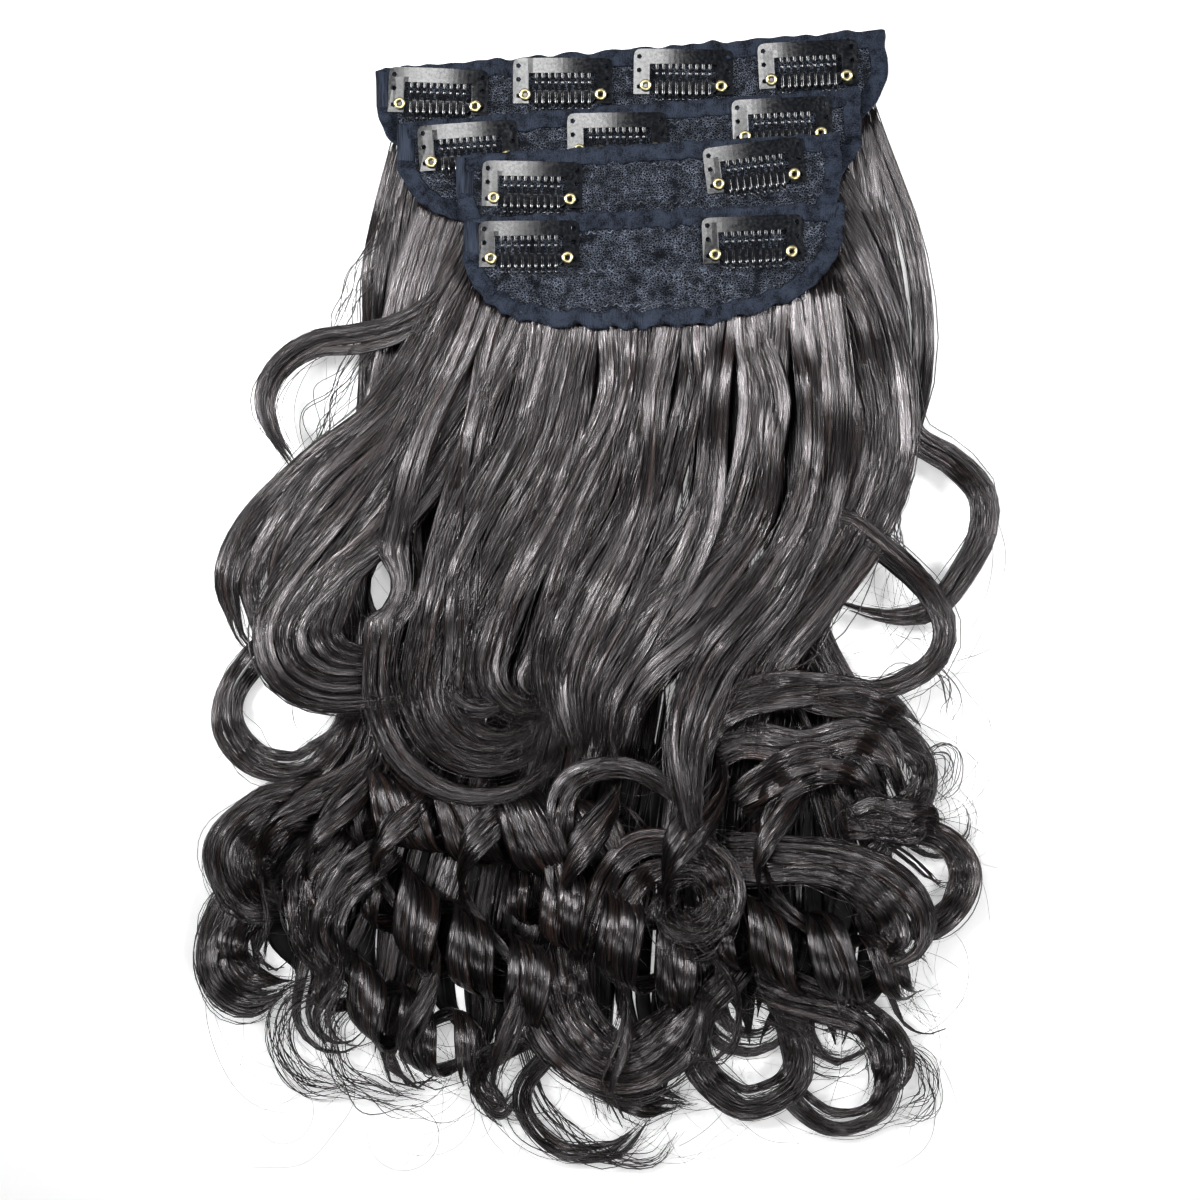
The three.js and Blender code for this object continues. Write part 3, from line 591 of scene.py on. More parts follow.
def synthetic_hair(hair):
    """Drawn synthetic fibre, dyed dark brown: silky, so light runs in bands across the locks, and streaky,
    because single fibres catch the light. Real fibres are under 0.1 mm; streaks of 0.6 mm and 2.2 mm show."""
    material, tree, output = new_material("dark_brown_synthetic_fibre")
    grain = add(tree, "ShaderNodeUVMap", {"uv_map": "grain"}).outputs["UV"]
    fine_at = add(tree, "ShaderNodeMapping", inputs={"Vector": grain, "Scale": (1 / 0.6, 1 / 60, 1)})
    fine = add(tree, "ShaderNodeTexNoise", {"noise_dimensions": "2D"},
               {"Vector": fine_at.outputs[0], "Scale": 1.0, "Detail": 3.0, "Roughness": 0.65})
    broad_at = add(tree, "ShaderNodeMapping", inputs={"Vector": grain, "Scale": (1 / 2.2, 1 / 110, 1)})
    broad = add(tree, "ShaderNodeTexNoise", {"noise_dimensions": "2D"},
                {"Vector": broad_at.outputs[0], "Scale": 1.0, "Detail": 2.0})
    both = add(tree, "ShaderNodeMath", {"operation": "MULTIPLY_ADD"},
               {0: broad.outputs["Fac"], 1: 0.5, 2: fine.outputs["Fac"]})
    tress_at = add(tree, "ShaderNodeMapping", inputs={"Vector": grain, "Scale": (1 / 16, 1 / 180, 1)})
    tress = add(tree, "ShaderNodeTexNoise", {"noise_dimensions": "2D"},
                {"Vector": tress_at.outputs[0], "Scale": 1.0, "Detail": 1.0})
    tone = add(tree, "ShaderNodeMath", {"operation": "MULTIPLY_ADD"},
               {0: tress.outputs["Fac"], 1: 0.5, 2: both.outputs[0]})
    depth = add(tree, "ShaderNodeMapRange", {"interpolation_type": "SMOOTHSTEP"},
                {"Value": tone.outputs[0], "From Min": 0.82, "From Max": 1.02})
    dark = add(tree, "ShaderNodeMix", {"data_type": "RGBA"}, {
        MIX_FACTOR: depth.outputs[0], MIX_FROM: (*hair.shade_colour, 1), MIX_TO: (*hair.fibre_colour, 1),
    })
    warm = add(tree, "ShaderNodeMapRange", inputs={
        "Value": broad.outputs["Fac"], "From Min": 0.38, "From Max": 0.62,
    })
    bright = add(tree, "ShaderNodeMix", {"data_type": "RGBA"}, {
        MIX_FACTOR: warm.outputs[0], MIX_FROM: (*hair.light_colour, 1), MIX_TO: (*hair.warm_colour, 1),
    })
    shine = add(tree, "ShaderNodeMapRange", inputs={
        "Value": tone.outputs[0], "From Min": 0.98, "From Max": 1.26,
    })
    colour = add(tree, "ShaderNodeMix", {"data_type": "RGBA"}, {
        MIX_FACTOR: shine.outputs[0], MIX_FROM: dark.outputs[MIXED], MIX_TO: bright.outputs[MIXED],
    })
    rough = add(tree, "ShaderNodeMapRange", inputs={
        "Value": fine.outputs["Fac"], "From Min": 0.35, "From Max": 0.65, "To Min": 0.36, "To Max": 0.18,
    })
    lift_at = add(tree, "ShaderNodeMapping", inputs={"Vector": grain, "Scale": (1 / 0.6, 1 / 16, 1)})
    lift = add(tree, "ShaderNodeTexNoise", {"noise_dimensions": "2D"},
               {"Vector": lift_at.outputs[0], "Scale": 1.0, "Detail": 2.0, "Roughness": 0.5})
    height = add(tree, "ShaderNodeMath", {"operation": "MULTIPLY_ADD"},
                 {0: lift.outputs["Fac"], 1: 1.6, 2: both.outputs[0]})
    bump = add(tree, "ShaderNodeBump", inputs={
        "Height": height.outputs[0], "Strength": 0.55, "Distance": 0.0005,
    })
    tangent = add(tree, "ShaderNodeTangent", {"direction_type": "UV_MAP", "uv_map": "grain"})
    shader = add(tree, "ShaderNodeBsdfPrincipled", inputs={
        "Base Color": colour.outputs[MIXED], "Roughness": rough.outputs[0], "IOR": 1.55,
        "Specular IOR Level": 0.8, "Specular Tint": (1.0, 0.94, 0.97, 1),
        "Anisotropic": 0.65, "Tangent": tangent.outputs[0], "Normal": bump.outputs[0],
    })
    tree.links.new(shader.outputs[0], output.inputs[0])
    return material


def painted_shade_hair(hair):
    """The same fibre deep under the curls in painted shade: a near-black colour and a weak sheen stand in for
    the light that the hairs over it, too many to draw, keep away.
    """
    material, tree, output = new_material("painted_shade_synthetic_fibre")
    shader = add(tree, "ShaderNodeBsdfPrincipled", inputs={
        "Base Color": (*hair.shade_colour, 1), "Roughness": 0.55, "Specular IOR Level": 0.15,
    })
    tree.links.new(shader.outputs[0], output.inputs[0])
    return material


def net_lace(lace):
    """Knitted black net, crinkled: loops of thread just under 1 mm across, with a painted grey glint on
    the raised threads round dark holes of painted shade, the glint stronger in some patches than in others."""
    material, tree, output = new_material("black_net_lace")
    place = add(tree, "ShaderNodeUVMap", {"uv_map": "grain"}).outputs["UV"]
    shake = add(tree, "ShaderNodeTexNoise", {"noise_dimensions": "2D"},
                {"Vector": place, "Scale": 0.9, "Detail": 2.0, "Roughness": 0.6})
    bent = add(tree, "ShaderNodeVectorMath", {"operation": "MULTIPLY_ADD"},
               {0: shake.outputs["Color"], 1: (1.8, 1.2, 0), 2: place})
    loops = add(tree, "ShaderNodeTexVoronoi", {"voronoi_dimensions": "2D", "feature": "DISTANCE_TO_EDGE"},
                {"Vector": bent.outputs[0], "Scale": 1 / 0.95, "Randomness": 1.0})
    patches = add(tree, "ShaderNodeTexNoise", {"noise_dimensions": "2D"},
                  {"Vector": place, "Scale": 0.14, "Detail": 4.0, "Roughness": 0.7})
    thread = add(tree, "ShaderNodeMapRange", {"interpolation_type": "SMOOTHSTEP"}, {
        "Value": loops.outputs["Distance"], "From Min": 0.02, "From Max": 0.22, "To Min": 1.0, "To Max": 0.0,
    })
    fading_and_sheen = add(tree, "ShaderNodeMapRange", inputs={
        "Value": patches.outputs["Fac"], "From Min": 0.3, "From Max": 0.68, "To Min": 0.4, "To Max": 1.0,
    })
    # Painted light: the thread mask, scaled by patches, runs from painted shade in the holes to a painted
    # glint on the threads
    lit = add(tree, "ShaderNodeMath", {"operation": "MULTIPLY"}, {0: thread.outputs[0], 1: fading_and_sheen.outputs[0]})
    dim = add(tree, "ShaderNodeMapRange", inputs={"Value": lit.outputs[0], "From Max": 0.4})
    net = add(tree, "ShaderNodeMix", {"data_type": "RGBA"}, {
        MIX_FACTOR: dim.outputs[0], MIX_FROM: (*lace.shade_colour, 1), MIX_TO: (*lace.net_colour, 1),
    })
    glint = add(tree, "ShaderNodeMapRange", inputs={"Value": lit.outputs[0], "From Min": 0.4})
    colour = add(tree, "ShaderNodeMix", {"data_type": "RGBA"}, {
        MIX_FACTOR: glint.outputs[0], MIX_FROM: net.outputs[MIXED], MIX_TO: (*lace.painted_glint_colour, 1),
    })
    bump = add(tree, "ShaderNodeBump", inputs={
        "Height": thread.outputs[0], "Strength": 0.9, "Distance": 0.0006,
    })
    shader = add(tree, "ShaderNodeBsdfPrincipled", inputs={
        "Base Color": colour.outputs[MIXED], "Roughness": 0.5, "Specular IOR Level": 0.12,
        "Normal": bump.outputs[0],
    })
    tree.links.new(shader.outputs[0], output.inputs[0])
    return material


def woven_tape(lace):
    """Bias tape of black cotton: matt, with a fine crosswise rib every 0.7 mm and slight fading in
    patches."""
    material, tree, output = new_material("black_woven_tape")
    place = add(tree, "ShaderNodeUVMap", {"uv_map": "grain"}).outputs["UV"]
    rib = add(tree, "ShaderNodeTexWave", {"wave_type": "BANDS", "bands_direction": "Y"},
              {"Vector": place, "Scale": 0.314 / 0.7, "Distortion": 1.2, "Detail": 2.0, "Detail Scale": 1.5})
    fading_and_sheen = add(tree, "ShaderNodeTexNoise", {"noise_dimensions": "2D"},
               {"Vector": place, "Scale": 0.16, "Detail": 4.0, "Roughness": 0.7})
    weave = add(tree, "ShaderNodeTexNoise", {"noise_dimensions": "2D"},
                {"Vector": place, "Scale": 1.7, "Detail": 2.0, "Roughness": 0.6})
    tone = add(tree, "ShaderNodeMath", {"operation": "MULTIPLY_ADD"},
               {0: weave.outputs["Fac"], 1: 0.7, 2: fading_and_sheen.outputs["Fac"]})
    faded = add(tree, "ShaderNodeMapRange", inputs={
        "Value": tone.outputs[0], "From Min": 0.62, "From Max": 0.98,
    })
    colour = add(tree, "ShaderNodeMix", {"data_type": "RGBA"}, {
        MIX_FACTOR: faded.outputs[0], MIX_FROM: (*lace.shade_colour, 1), MIX_TO: (*lace.tape_colour, 1),
    })
    height = add(tree, "ShaderNodeMath", {"operation": "ADD"}, {0: rib.outputs["Fac"], 1: tone.outputs[0]})
    bump = add(tree, "ShaderNodeBump", inputs={
        "Height": height.outputs[0], "Strength": 0.8, "Distance": 0.0003,
    })
    shader = add(tree, "ShaderNodeBsdfPrincipled", inputs={
        "Base Color": colour.outputs[MIXED], "Roughness": 0.7, "Specular IOR Level": 0.12,
        "Normal": bump.outputs[0],
    })
    tree.links.new(shader.outputs[0], output.inputs[0])
    return material


def sewing_thread(lace):
    """Black polyester thread: a dull sheen, with a painted grey sheen in patches along its length."""
    material, tree, output = new_material("black_sewing_thread")
    place = add(tree, "ShaderNodeUVMap", {"uv_map": "grain"}).outputs["UV"]
    fading_and_sheen = add(tree, "ShaderNodeTexNoise", {"noise_dimensions": "2D"},
               {"Vector": place, "Scale": 0.4, "Detail": 2.0})
    grey = add(tree, "ShaderNodeMapRange", inputs={
        "Value": fading_and_sheen.outputs["Fac"], "From Min": 0.45, "From Max": 0.8,
    })
    # Painted sheen: the thread mixes from the net colour to the painted glint colour in patches
    colour = add(tree, "ShaderNodeMix", {"data_type": "RGBA"}, {
        MIX_FACTOR: grey.outputs[0], MIX_FROM: (*lace.net_colour, 1), MIX_TO: (*lace.painted_glint_colour, 1),
    })
    shader = add(tree, "ShaderNodeBsdfPrincipled", inputs={
        "Base Color": colour.outputs[MIXED], "Roughness": 0.4,
    })
    tree.links.new(shader.outputs[0], output.inputs[0])
    return material


def black_enamel(clip):
    """Stoved black enamel on spring steel: deep and glossy, with a faint unevenness and handling marks."""
    material, tree, output = new_material("gloss_black_enamel")
    place = add(tree, "ShaderNodeTexCoord").outputs["Object"]
    marks = add(tree, "ShaderNodeTexNoise", inputs={"Vector": place, "Scale": 900.0, "Detail": 4.0})
    rough = add(tree, "ShaderNodeMapRange", inputs={
        "Value": marks.outputs["Fac"], "From Min": 0.35, "From Max": 0.75, "To Min": 0.12, "To Max": 0.26,
    })
    peel = add(tree, "ShaderNodeTexNoise", inputs={"Vector": place, "Scale": 350.0, "Detail": 1.0})
    bump = add(tree, "ShaderNodeBump", inputs={
        "Height": peel.outputs["Fac"], "Strength": 0.05, "Distance": 0.0004,
    })
    shader = add(tree, "ShaderNodeBsdfPrincipled", inputs={
        "Base Color": (*clip.enamel_colour, 1), "Roughness": rough.outputs[0], "IOR": 1.55,
        "Coat Weight": 0.35, "Coat Roughness": 0.12, "Normal": bump.outputs[0],
    })
    tree.links.new(shader.outputs[0], output.inputs[0])
    return material


def pale_brass(clip):
    """Rolled brass eyelets: pale gold, polished on the rim, a little duller where they were pressed."""
    material, tree, output = new_material("rolled_pale_brass")
    place = add(tree, "ShaderNodeTexCoord").outputs["Object"]
    dull = add(tree, "ShaderNodeTexNoise", inputs={"Vector": place, "Scale": 700.0, "Detail": 3.0})
    rough = add(tree, "ShaderNodeMapRange", inputs={
        "Value": dull.outputs["Fac"], "To Min": 0.2, "To Max": 0.42,
    })
    shader = add(tree, "ShaderNodeBsdfPrincipled", inputs={
        "Base Color": (*clip.brass_colour, 1), "Metallic": 1.0, "Roughness": rough.outputs[0],
    })
    tree.links.new(shader.outputs[0], output.inputs[0])
    return material


def opal_table(stage):
    """Opal acrylic sheet lit a little from beneath: matt white, with a very faint mottle and weak shadows."""
    material, tree, output = new_material("lit_opal_acrylic")
    place = add(tree, "ShaderNodeTexCoord").outputs["Object"]
    mottle = add(tree, "ShaderNodeTexNoise", inputs={"Vector": place, "Scale": 6.0, "Detail": 2.0})
    dimmer = [0.97 * c for c in stage.floor_colour]
    colour = add(tree, "ShaderNodeMix", {"data_type": "RGBA"}, {
        MIX_FACTOR: mottle.outputs["Fac"], MIX_FROM: (*dimmer, 1), MIX_TO: (*stage.floor_colour, 1),
    })
    shader = add(tree, "ShaderNodeBsdfPrincipled", inputs={
        "Base Color": colour.outputs[MIXED], "Roughness": 0.9, "Emission Color": (1, 1, 1, 1),
        "Emission Strength": stage.table_glow,
    })
    tree.links.new(shader.outputs[0], output.inputs[0])
    return material


def colour_prop(name, description, code):
    """A colour setting with its default from an sRGB hex value."""
    return bpy.props.FloatVectorProperty(
        name=name, description=description, subtype="COLOR", min=0, max=1, default=linear(code)[:3]
    )


class HairSettings(bpy.types.PropertyGroup):
    """Sizes and colours of the hair."""

    fibre_colour: colour_prop("Fibre", "Colour of most of the hair", "#070606")
    # Shade is also the painted shade of the hair under the curls
    shade_colour: colour_prop("Shade", "Colour of the darkest fibres", "#040405")
    light_colour: colour_prop("Light", "Colour of the lightest fibres", "#1f1c20")
    warm_colour: colour_prop("Warm light", "Colour of the lightest fibres in the warmer tresses", "#352722")
    lock_depth: bpy.props.FloatProperty(
        name="Lock depth", description="Half the depth of one flat lock", default=0.0007, unit="LENGTH"
    )
    strand_width: bpy.props.FloatProperty(
        name="Strand width", description="Width of one loose strand, drawn thick enough to show",
        default=0.00042, unit="LENGTH",
    )
    seed: bpy.props.IntProperty(name="Seed", description="Which fall of the hair is drawn", default=11)


class LaceSettings(bpy.types.PropertyGroup):
    """Sizes and colours of the lace panels and their bindings."""

    # Shade is the painted shade in the net's holes, and also the dark of the tape's faded patches
    shade_colour: colour_prop("Shade", "Colour between the threads", "#020308")
    net_colour: colour_prop("Net", "Colour of the net", "#0d121e")
    # Glint is a painted glint on the net's raised threads and a painted sheen on the sewing thread
    painted_glint_colour: colour_prop("Glint", "Colour of the raised threads", "#8992a4")
    tape_colour: colour_prop("Tape", "Colour of the binding", "#323947")
    net_thickness: bpy.props.FloatProperty(
        name="Net thickness", description="Thickness of the lace", default=0.0006, unit="LENGTH"
    )
    pucker: bpy.props.FloatProperty(
        name="Pucker", description="How far the sewn tape puckers", default=0.0006, unit="LENGTH"
    )


class ClipSettings(bpy.types.PropertyGroup):
    """Sizes and colours of the snap clips."""

    enamel_colour: colour_prop("Enamel", "Colour of the plates and combs", "#090b10")
    brass_colour: colour_prop("Brass", "Colour of the eyelets", "#e8dba6")
    bow: bpy.props.FloatProperty(
        name="Bow", description="How far a plate's middle bows up to fit the head",
        default=0.001, unit="LENGTH",
    )
    tooth_width: bpy.props.FloatProperty(
        name="Tooth width", description="Width of a comb tooth", default=0.0014, unit="LENGTH"
    )


class StageSettings(bpy.types.PropertyGroup):
    """The floor, the light and the camera."""

    floor_colour: colour_prop("Table", "Colour of the sheet the hair lies on", "#f6f6f6")
    table_glow: bpy.props.FloatProperty(
        name="Table glow", description="How brightly the sheet is lit from beneath", default=0.4, min=0
    )
    view_width: bpy.props.FloatProperty(
        name="View width", description="Width of floor that the camera sees", default=0.48, unit="LENGTH"
    )
    camera_height: bpy.props.FloatProperty(
        name="Camera height", description="Height of the camera over the floor", default=1.7, unit="LENGTH"
    )
    key_power: bpy.props.FloatProperty(
        name="Key power", description="Power of the large soft box", default=6.5, unit="POWER"
    )
    dome_strength: bpy.props.FloatProperty(
        name="Dome", description="Strength of the even light all round", default=0.025, min=0
    )
    backdrop: bpy.props.FloatProperty(
        name="Backdrop", description="How bright the wall behind the sheet looks", default=0.75, min=0
    )


SETTINGS = {
    "extension_hair": HairSettings,
    "extension_lace": LaceSettings,
    "extension_clip": ClipSettings,
    "extension_stage": StageSettings,
}

# A lock's section: a ridged top of seven points and a rounded underside of three
TOP_POINTS = 7
SECTION = np.array(
    [[a, 0.25 + 0.75 * (1 - a * a) ** 0.5] for a in np.linspace(-1, 1, TOP_POINTS)]
    + [[0.6, -0.6], [0.0, -0.9], [-0.6, -0.6]]
)
RIDGE = 0.4
LOCK_RINGS = 24
STRAND_RINGS = 20
LOCK_TURN = 0.4
STRAND_TURN = 0.8
FLOOR_GAP = 0.15
GRAIN_SPREAD = 900
SHORTEST = (0.87, 0.89, 0.95, 0.95)
CLUMP_SPREAD = (0.68, 1.0, 1.0, 1.0)
STRAND_SECTION = np.array([[np.sin(t), np.cos(t)] for t in np.radians([0, 120, 240])])

# Clear floor seen between the front sheet and the left sweep: its middle and half sizes, and the side of it
# that each weft's hair keeps to (none: each hair keeps to its own)
PARTING = (-87.0, 6.0)
PARTING_HALF = (6.0, 12.5)
PARTING_SIDES = (0, 0, -1, 1)
PARTING_REACH = 3.0


def part_round(lines, weft):
    """Hair drawn aside from the parting: at each height a line keeps at least as far off as the parting is
    wide there, which falls off from its middle as one minus the square of the height, and the lines further
    out, up to the reach, draw together to make room."""
    half = np.array(PARTING_HALF) * (1.0 if PARTING_SIDES[weft] else 1.4)
    offset = (lines[..., :2] - SHIFT - PARTING) / half
    near = (np.abs(offset[..., 1]) < 1) & (np.abs(offset[..., 0]) < PARTING_REACH)
    own = np.where((offset[..., :1] * near[..., None]).sum(1) < 0, -1, 1)
    side = PARTING_SIDES[weft] or own
    edge = np.clip(1 - offset[..., 1] ** 2, 0, 1)
    off = edge + np.maximum(side * offset[..., 0], 0) * (1 - edge / PARTING_REACH)
    x = np.where(near, side * off, offset[..., 0]) * half[0] + PARTING[0] + SHIFT[0]
    return np.concatenate([x[..., None], lines[..., 1:]], -1)


def sampled(lines, fewest, turn):
    """The steps to keep of a lock's lines: the fewest, spread by length, and one more for each small turn of
    the first line."""
    step = np.diff(lines[0], axis=0)
    length = np.linalg.norm(step, axis=1)
    turning = np.arccos(np.clip((unit(step[1:]) * unit(step[:-1])).sum(1), -1, 1))
    measure = np.cumsum(length / length.sum() * fewest + np.append(0, turning) / turn)
    wanted = np.linspace(0, measure[-1], int(np.ceil(measure[-1])))
    return np.unique(np.append(np.searchsorted(measure, wanted[:-1]), STEPS))


def members(row, each, reach, rng):
    """Shares of the half width and band numbers for the members of a lock: each band has as many, spread
    evenly over the reach and shaken a little."""
    shares = np.linspace(-reach, reach, each) + rng.uniform(-0.12, 0.12, (row.bands, each))
    return shares.ravel(), np.repeat(np.arange(row.bands), each)


def trimmed(lines, share):
    """Each line cut off at its own share of its length, read between the two nearest steps."""
    at = np.arange(STEPS + 1) * share[:, None]
    low = np.minimum(at.astype(int), STEPS - 1)
    part = (at - low)[..., None]
    pick = np.arange(len(lines))[:, None]
    return lines[pick, low] * (1 - part) + lines[pick, low + 1] * part


def lock_surface(row, hair, rng):
    """The flat locks of one row: ridged lens sections, broad at the root and drawn to a point at the tip."""
    shares, bands = members(row, row.clumps, 0.8, rng)
    count = len(shares)
    layers = rng.uniform(-1.4, 1.4, count) * (0.4 if row.coil[0] else 1)
    lines, faces, pinch = lock_lines(row, shares, bands, layers, 1.8, rng)
    if row.rest is None:
        lines = part_round(lines, row.weft)
    share = rng.uniform(SHORTEST[row.weft], 1, count)
    lines = trimmed(lines, share)
    faces = trimmed(faces, share)
    pinch = trimmed(pinch[..., None], share)[..., 0]
    keep = sampled(lines, LOCK_RINGS, LOCK_TURN)
    along = keep / STEPS
    rings = len(keep)
    ends = (0.04 + 0.96 * smoothstep(0, 0.04, along)) * (1 - 0.93 * smoothstep(0.8, 1, along) ** 1.5)
    if row.rest is not None:
        ends = ends * (0.15 + 0.85 * smoothstep(0, 0.18, along))
    spread = CLUMP_SPREAD[row.weft] * row.width / row.clumps * rng.uniform(0.75, 1.15, (count, 1))
    widths = np.abs(spread * ends * pinch[:, keep] * (1 + 0.18 * drift(rng, count, rings, 4)))
    depths = hair.lock_depth / MM * np.sqrt(ends) * np.ones_like(widths)
    profile = np.tile(SECTION, (count, rings, 1, 1))
    ridges = rng.uniform(-RIDGE, RIDGE, (count, 1, TOP_POINTS - 2))
    profile[:, :, 1 : TOP_POINTS - 1, 1] += ridges
    surface = carry(lines[:, keep], faces[:, keep], widths, depths, profile)
    surface[..., 2] = np.maximum(surface[..., 2], FLOOR_GAP)
    return skin(surface, rng.uniform(0, GRAIN_SPREAD, count))


def strand_surface(row, hair, rng):
    """Loose strands over one row's locks: thin three-sided tubes, a few of which wander well away."""
    shares, bands = members(row, row.strands, 1.05, rng)
    count = len(shares)
    layers = rng.uniform(0.6, 2.2, count)
    stray = np.where(rng.random((count, 1)) < 0.12, 6.0, 2.4 if row.clumps else 4.5)
    lines, faces, _ = lock_lines(row, shares, bands, layers, stray, rng)
    if row.rest is None:
        lines = part_round(lines, row.weft)
    share = rng.uniform(SHORTEST[row.weft], 1, count)
    lines = trimmed(lines, share)
    faces = trimmed(faces, share)
    keep = sampled(lines, STRAND_RINGS, STRAND_TURN)
    along = keep / STEPS
    half = 0.5 * hair.strand_width / MM * rng.uniform(0.6, 1.5, (count, 1))
    half = half * (1 - 0.7 * smoothstep(0.75, 1, along))
    surface = carry(lines[:, keep], faces[:, keep], half, half, STRAND_SECTION)
    surface[..., 2] = np.maximum(surface[..., 2], FLOOR_GAP)
    return skin(surface, rng.uniform(0, GRAIN_SPREAD, count))


class EXTENSION_OT_locks(bpy.types.Operator):
    """Lay the flat locks of each weft from its lace to its curled ends"""

    bl_idname = "extension.locks"
    bl_label = "Hair locks"

    def execute(self, context):
        hair = context.scene.extension_hair
        material = synthetic_hair(hair)
        rng = np.random.default_rng(hair.seed)
        for weft in range(len(WEFTS)):
            rows = [row for row in LOCKS + RINGLETS if row.weft == weft and row.clumps]
            surface = join_surfaces([lock_surface(row, hair, rng) for row in rows])
            made = piece(f"weft_{weft + 1}_locks", surface, material, "root")
            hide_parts(f"weft_{weft + 1}_hair")
        # The hair under the curls is drawn in painted shade: a near-black, weakly shiny copy of the fibre
        surface = join_surfaces([lock_surface(row, hair, rng) for row in UNDERSIDE])
        piece("weft_1_underside", surface, painted_shade_hair(hair), "root")
        return {"FINISHED"}


class EXTENSION_OT_strands(bpy.types.Operator):
    """Scatter loose strands over the locks of each weft"""

    bl_idname = "extension.strands"
    bl_label = "Loose strands"

    def execute(self, context):
        hair = context.scene.extension_hair
        material = bpy.data.materials["dark_brown_synthetic_fibre"]
        rng = np.random.default_rng(hair.seed + 1)
        for weft in range(len(WEFTS)):
            rows = [row for row in LOCKS + RINGLETS if row.weft == weft]
            surface = join_surfaces([strand_surface(row, hair, rng) for row in rows])
            piece(f"weft_{weft + 1}_strands", surface, material, "root")
        return {"FINISHED"}


STRAYS = 520
STRAY_WIDTH = 0.3
STRAY_STEPS = 18
STRAY_ROOM = 6.0


def stray_surface(rng):
    """Single hairs that leave the mass: each starts at a random place on a random lock, sets off near that
    lock's heading and bends by an angle that grows evenly along it, rising a little and then falling."""
    weights = np.array([1.0 if row.rest is None else 2.5 for row in ROWS])
    picks = rng.choice(len(ROWS), STRAYS, p=weights / weights.sum())
    plans = np.stack([plan_line(row) for row in ROWS])
    at = rng.integers(round(0.35 * STEPS), STEPS, STRAYS)
    start = plans[picks, at]
    step = plans[picks, at] - plans[picks, at - 1]
    sign = rng.choice([-1, 1], (STRAYS, 1))
    share = np.linspace(0, 1, STRAY_STEPS)
    length = rng.uniform(28, 95, (STRAYS, 1))
    bend = length / rng.uniform(14, 60, (STRAYS, 1))
    aside = rng.uniform(0, 0.6, (STRAYS, 1))
    heading = np.arctan2(step[:, 1], step[:, 0])[:, None] + sign * (bend * share - aside)
    heading = heading + 0.25 * drift(rng, STRAYS, STRAY_STEPS, 4)
    run = np.stack([np.cos(heading), np.sin(heading)], -1) * (length / STRAY_STEPS)[..., None]
    flat = start[:, None] + np.cumsum(run, axis=1)
    base = np.array([
        row.weft * TIER + 6 if row.rest is None else row.rest + row.arch + row.coil[0] for row in ROWS
    ])
    rise = rng.uniform(0, 5, (STRAYS, 1))
    height = base[picks][:, None] * (1 - 0.5 * share) + rise * np.sin(np.pi * share) + 1
    lines = np.concatenate([flat, height[..., None]], -1)
    room = np.array(CAD_BOX)[:, :2] / MM + np.array([[-STRAY_ROOM], [STRAY_ROOM]])
    inside = ((flat > room[0]) & (flat < room[1])).all((1, 2))
    lines = lines[inside]
    half = 0.5 * STRAY_WIDTH * rng.uniform(0.6, 1.2, (len(lines), 1)) * (1 - 0.6 * share)
    return skin(carry(lines, np.broadcast_to(UP, lines.shape), half, half, STRAND_SECTION),
                rng.uniform(0, GRAIN_SPREAD, len(lines)))


class EXTENSION_OT_strays(bpy.types.Operator):
    """Let single hairs fly away from the mass"""

    bl_idname = "extension.strays"
    bl_label = "Stray hairs"

    def execute(self, context):
        hair = context.scene.extension_hair
        material = bpy.data.materials["dark_brown_synthetic_fibre"]
        surface = stray_surface(np.random.default_rng(hair.seed + 2))
        piece("stray_hairs", surface, material, "root")
        return {"FINISHED"}


PANEL_END = 0.995
LACE_SEED = 5
LACE_COLUMNS = 91
LACE_ROWS = 31


def lace_surface(index, rng):
    """A lace panel: across by the sine of an even angle, down by a share of the superellipse depth there,
    and up by the ruffle plus a fine crinkle that is a sum of slanted sines."""
    weft = WEFTS[index]
    share = PANEL_END * np.sin(np.linspace(-np.pi / 2, np.pi / 2, LACE_COLUMNS))[None]
    down = np.linspace(0, 1, LACE_ROWS)[:, None]
    x = share * weft.width / 2 * np.ones_like(down)
    depth = panel_depth(weft, share) * down
    crinkle = np.zeros_like(x)
    for _ in range(6):
        ahead = rng.uniform(-0.5, 0.5)
        length = rng.uniform(9, 24)
        run = x * np.cos(ahead) + depth * np.sin(ahead)
        crinkle += np.sin(2 * np.pi * run / length + rng.uniform(0, 6.3))
    z = LACE_UNDER + 0.5 + ruffle(weft, x, depth) + 0.05 * crinkle
    points = on_weft(index, np.stack([x, -gathered(weft, x, depth), z], -1))
    i, k = cells(LACE_ROWS - 1, LACE_COLUMNS - 1)
    rows = np.stack([i + 1, i + 1, i, i], 1)
    columns = np.stack([k, k + 1, k + 1, k], 1)
    uv = np.stack([x[rows, columns], -depth[rows, columns]], -1).reshape(-1, 2) + 300 * index
    return points.reshape(-1, 3), rows * LACE_COLUMNS + columns, np.zeros((0, 3), int), uv


class EXTENSION_OT_lace(bpy.types.Operator):
    """Lay a net lace panel over the roots of each weft"""

    bl_idname = "extension.lace"
    bl_label = "Lace panels"

    def execute(self, context):
        lace = context.scene.extension_lace
        material = net_lace(lace)
        rng = np.random.default_rng(LACE_SEED)
        for index in range(len(WEFTS)):
            made = piece(f"weft_{index + 1}_net", lace_surface(index, rng), material, "root")
            wall = made.modifiers.new("net thickness", "SOLIDIFY")
            wall.thickness = lace.net_thickness
            wall.offset = 0
            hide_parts(f"weft_{index + 1}_lace")
        return {"FINISHED"}


SEWN_ROWS = (0.16, 0.5, 0.82)
STITCH = 1.5
STITCH_SWING = 0.6
THREAD = 0.2


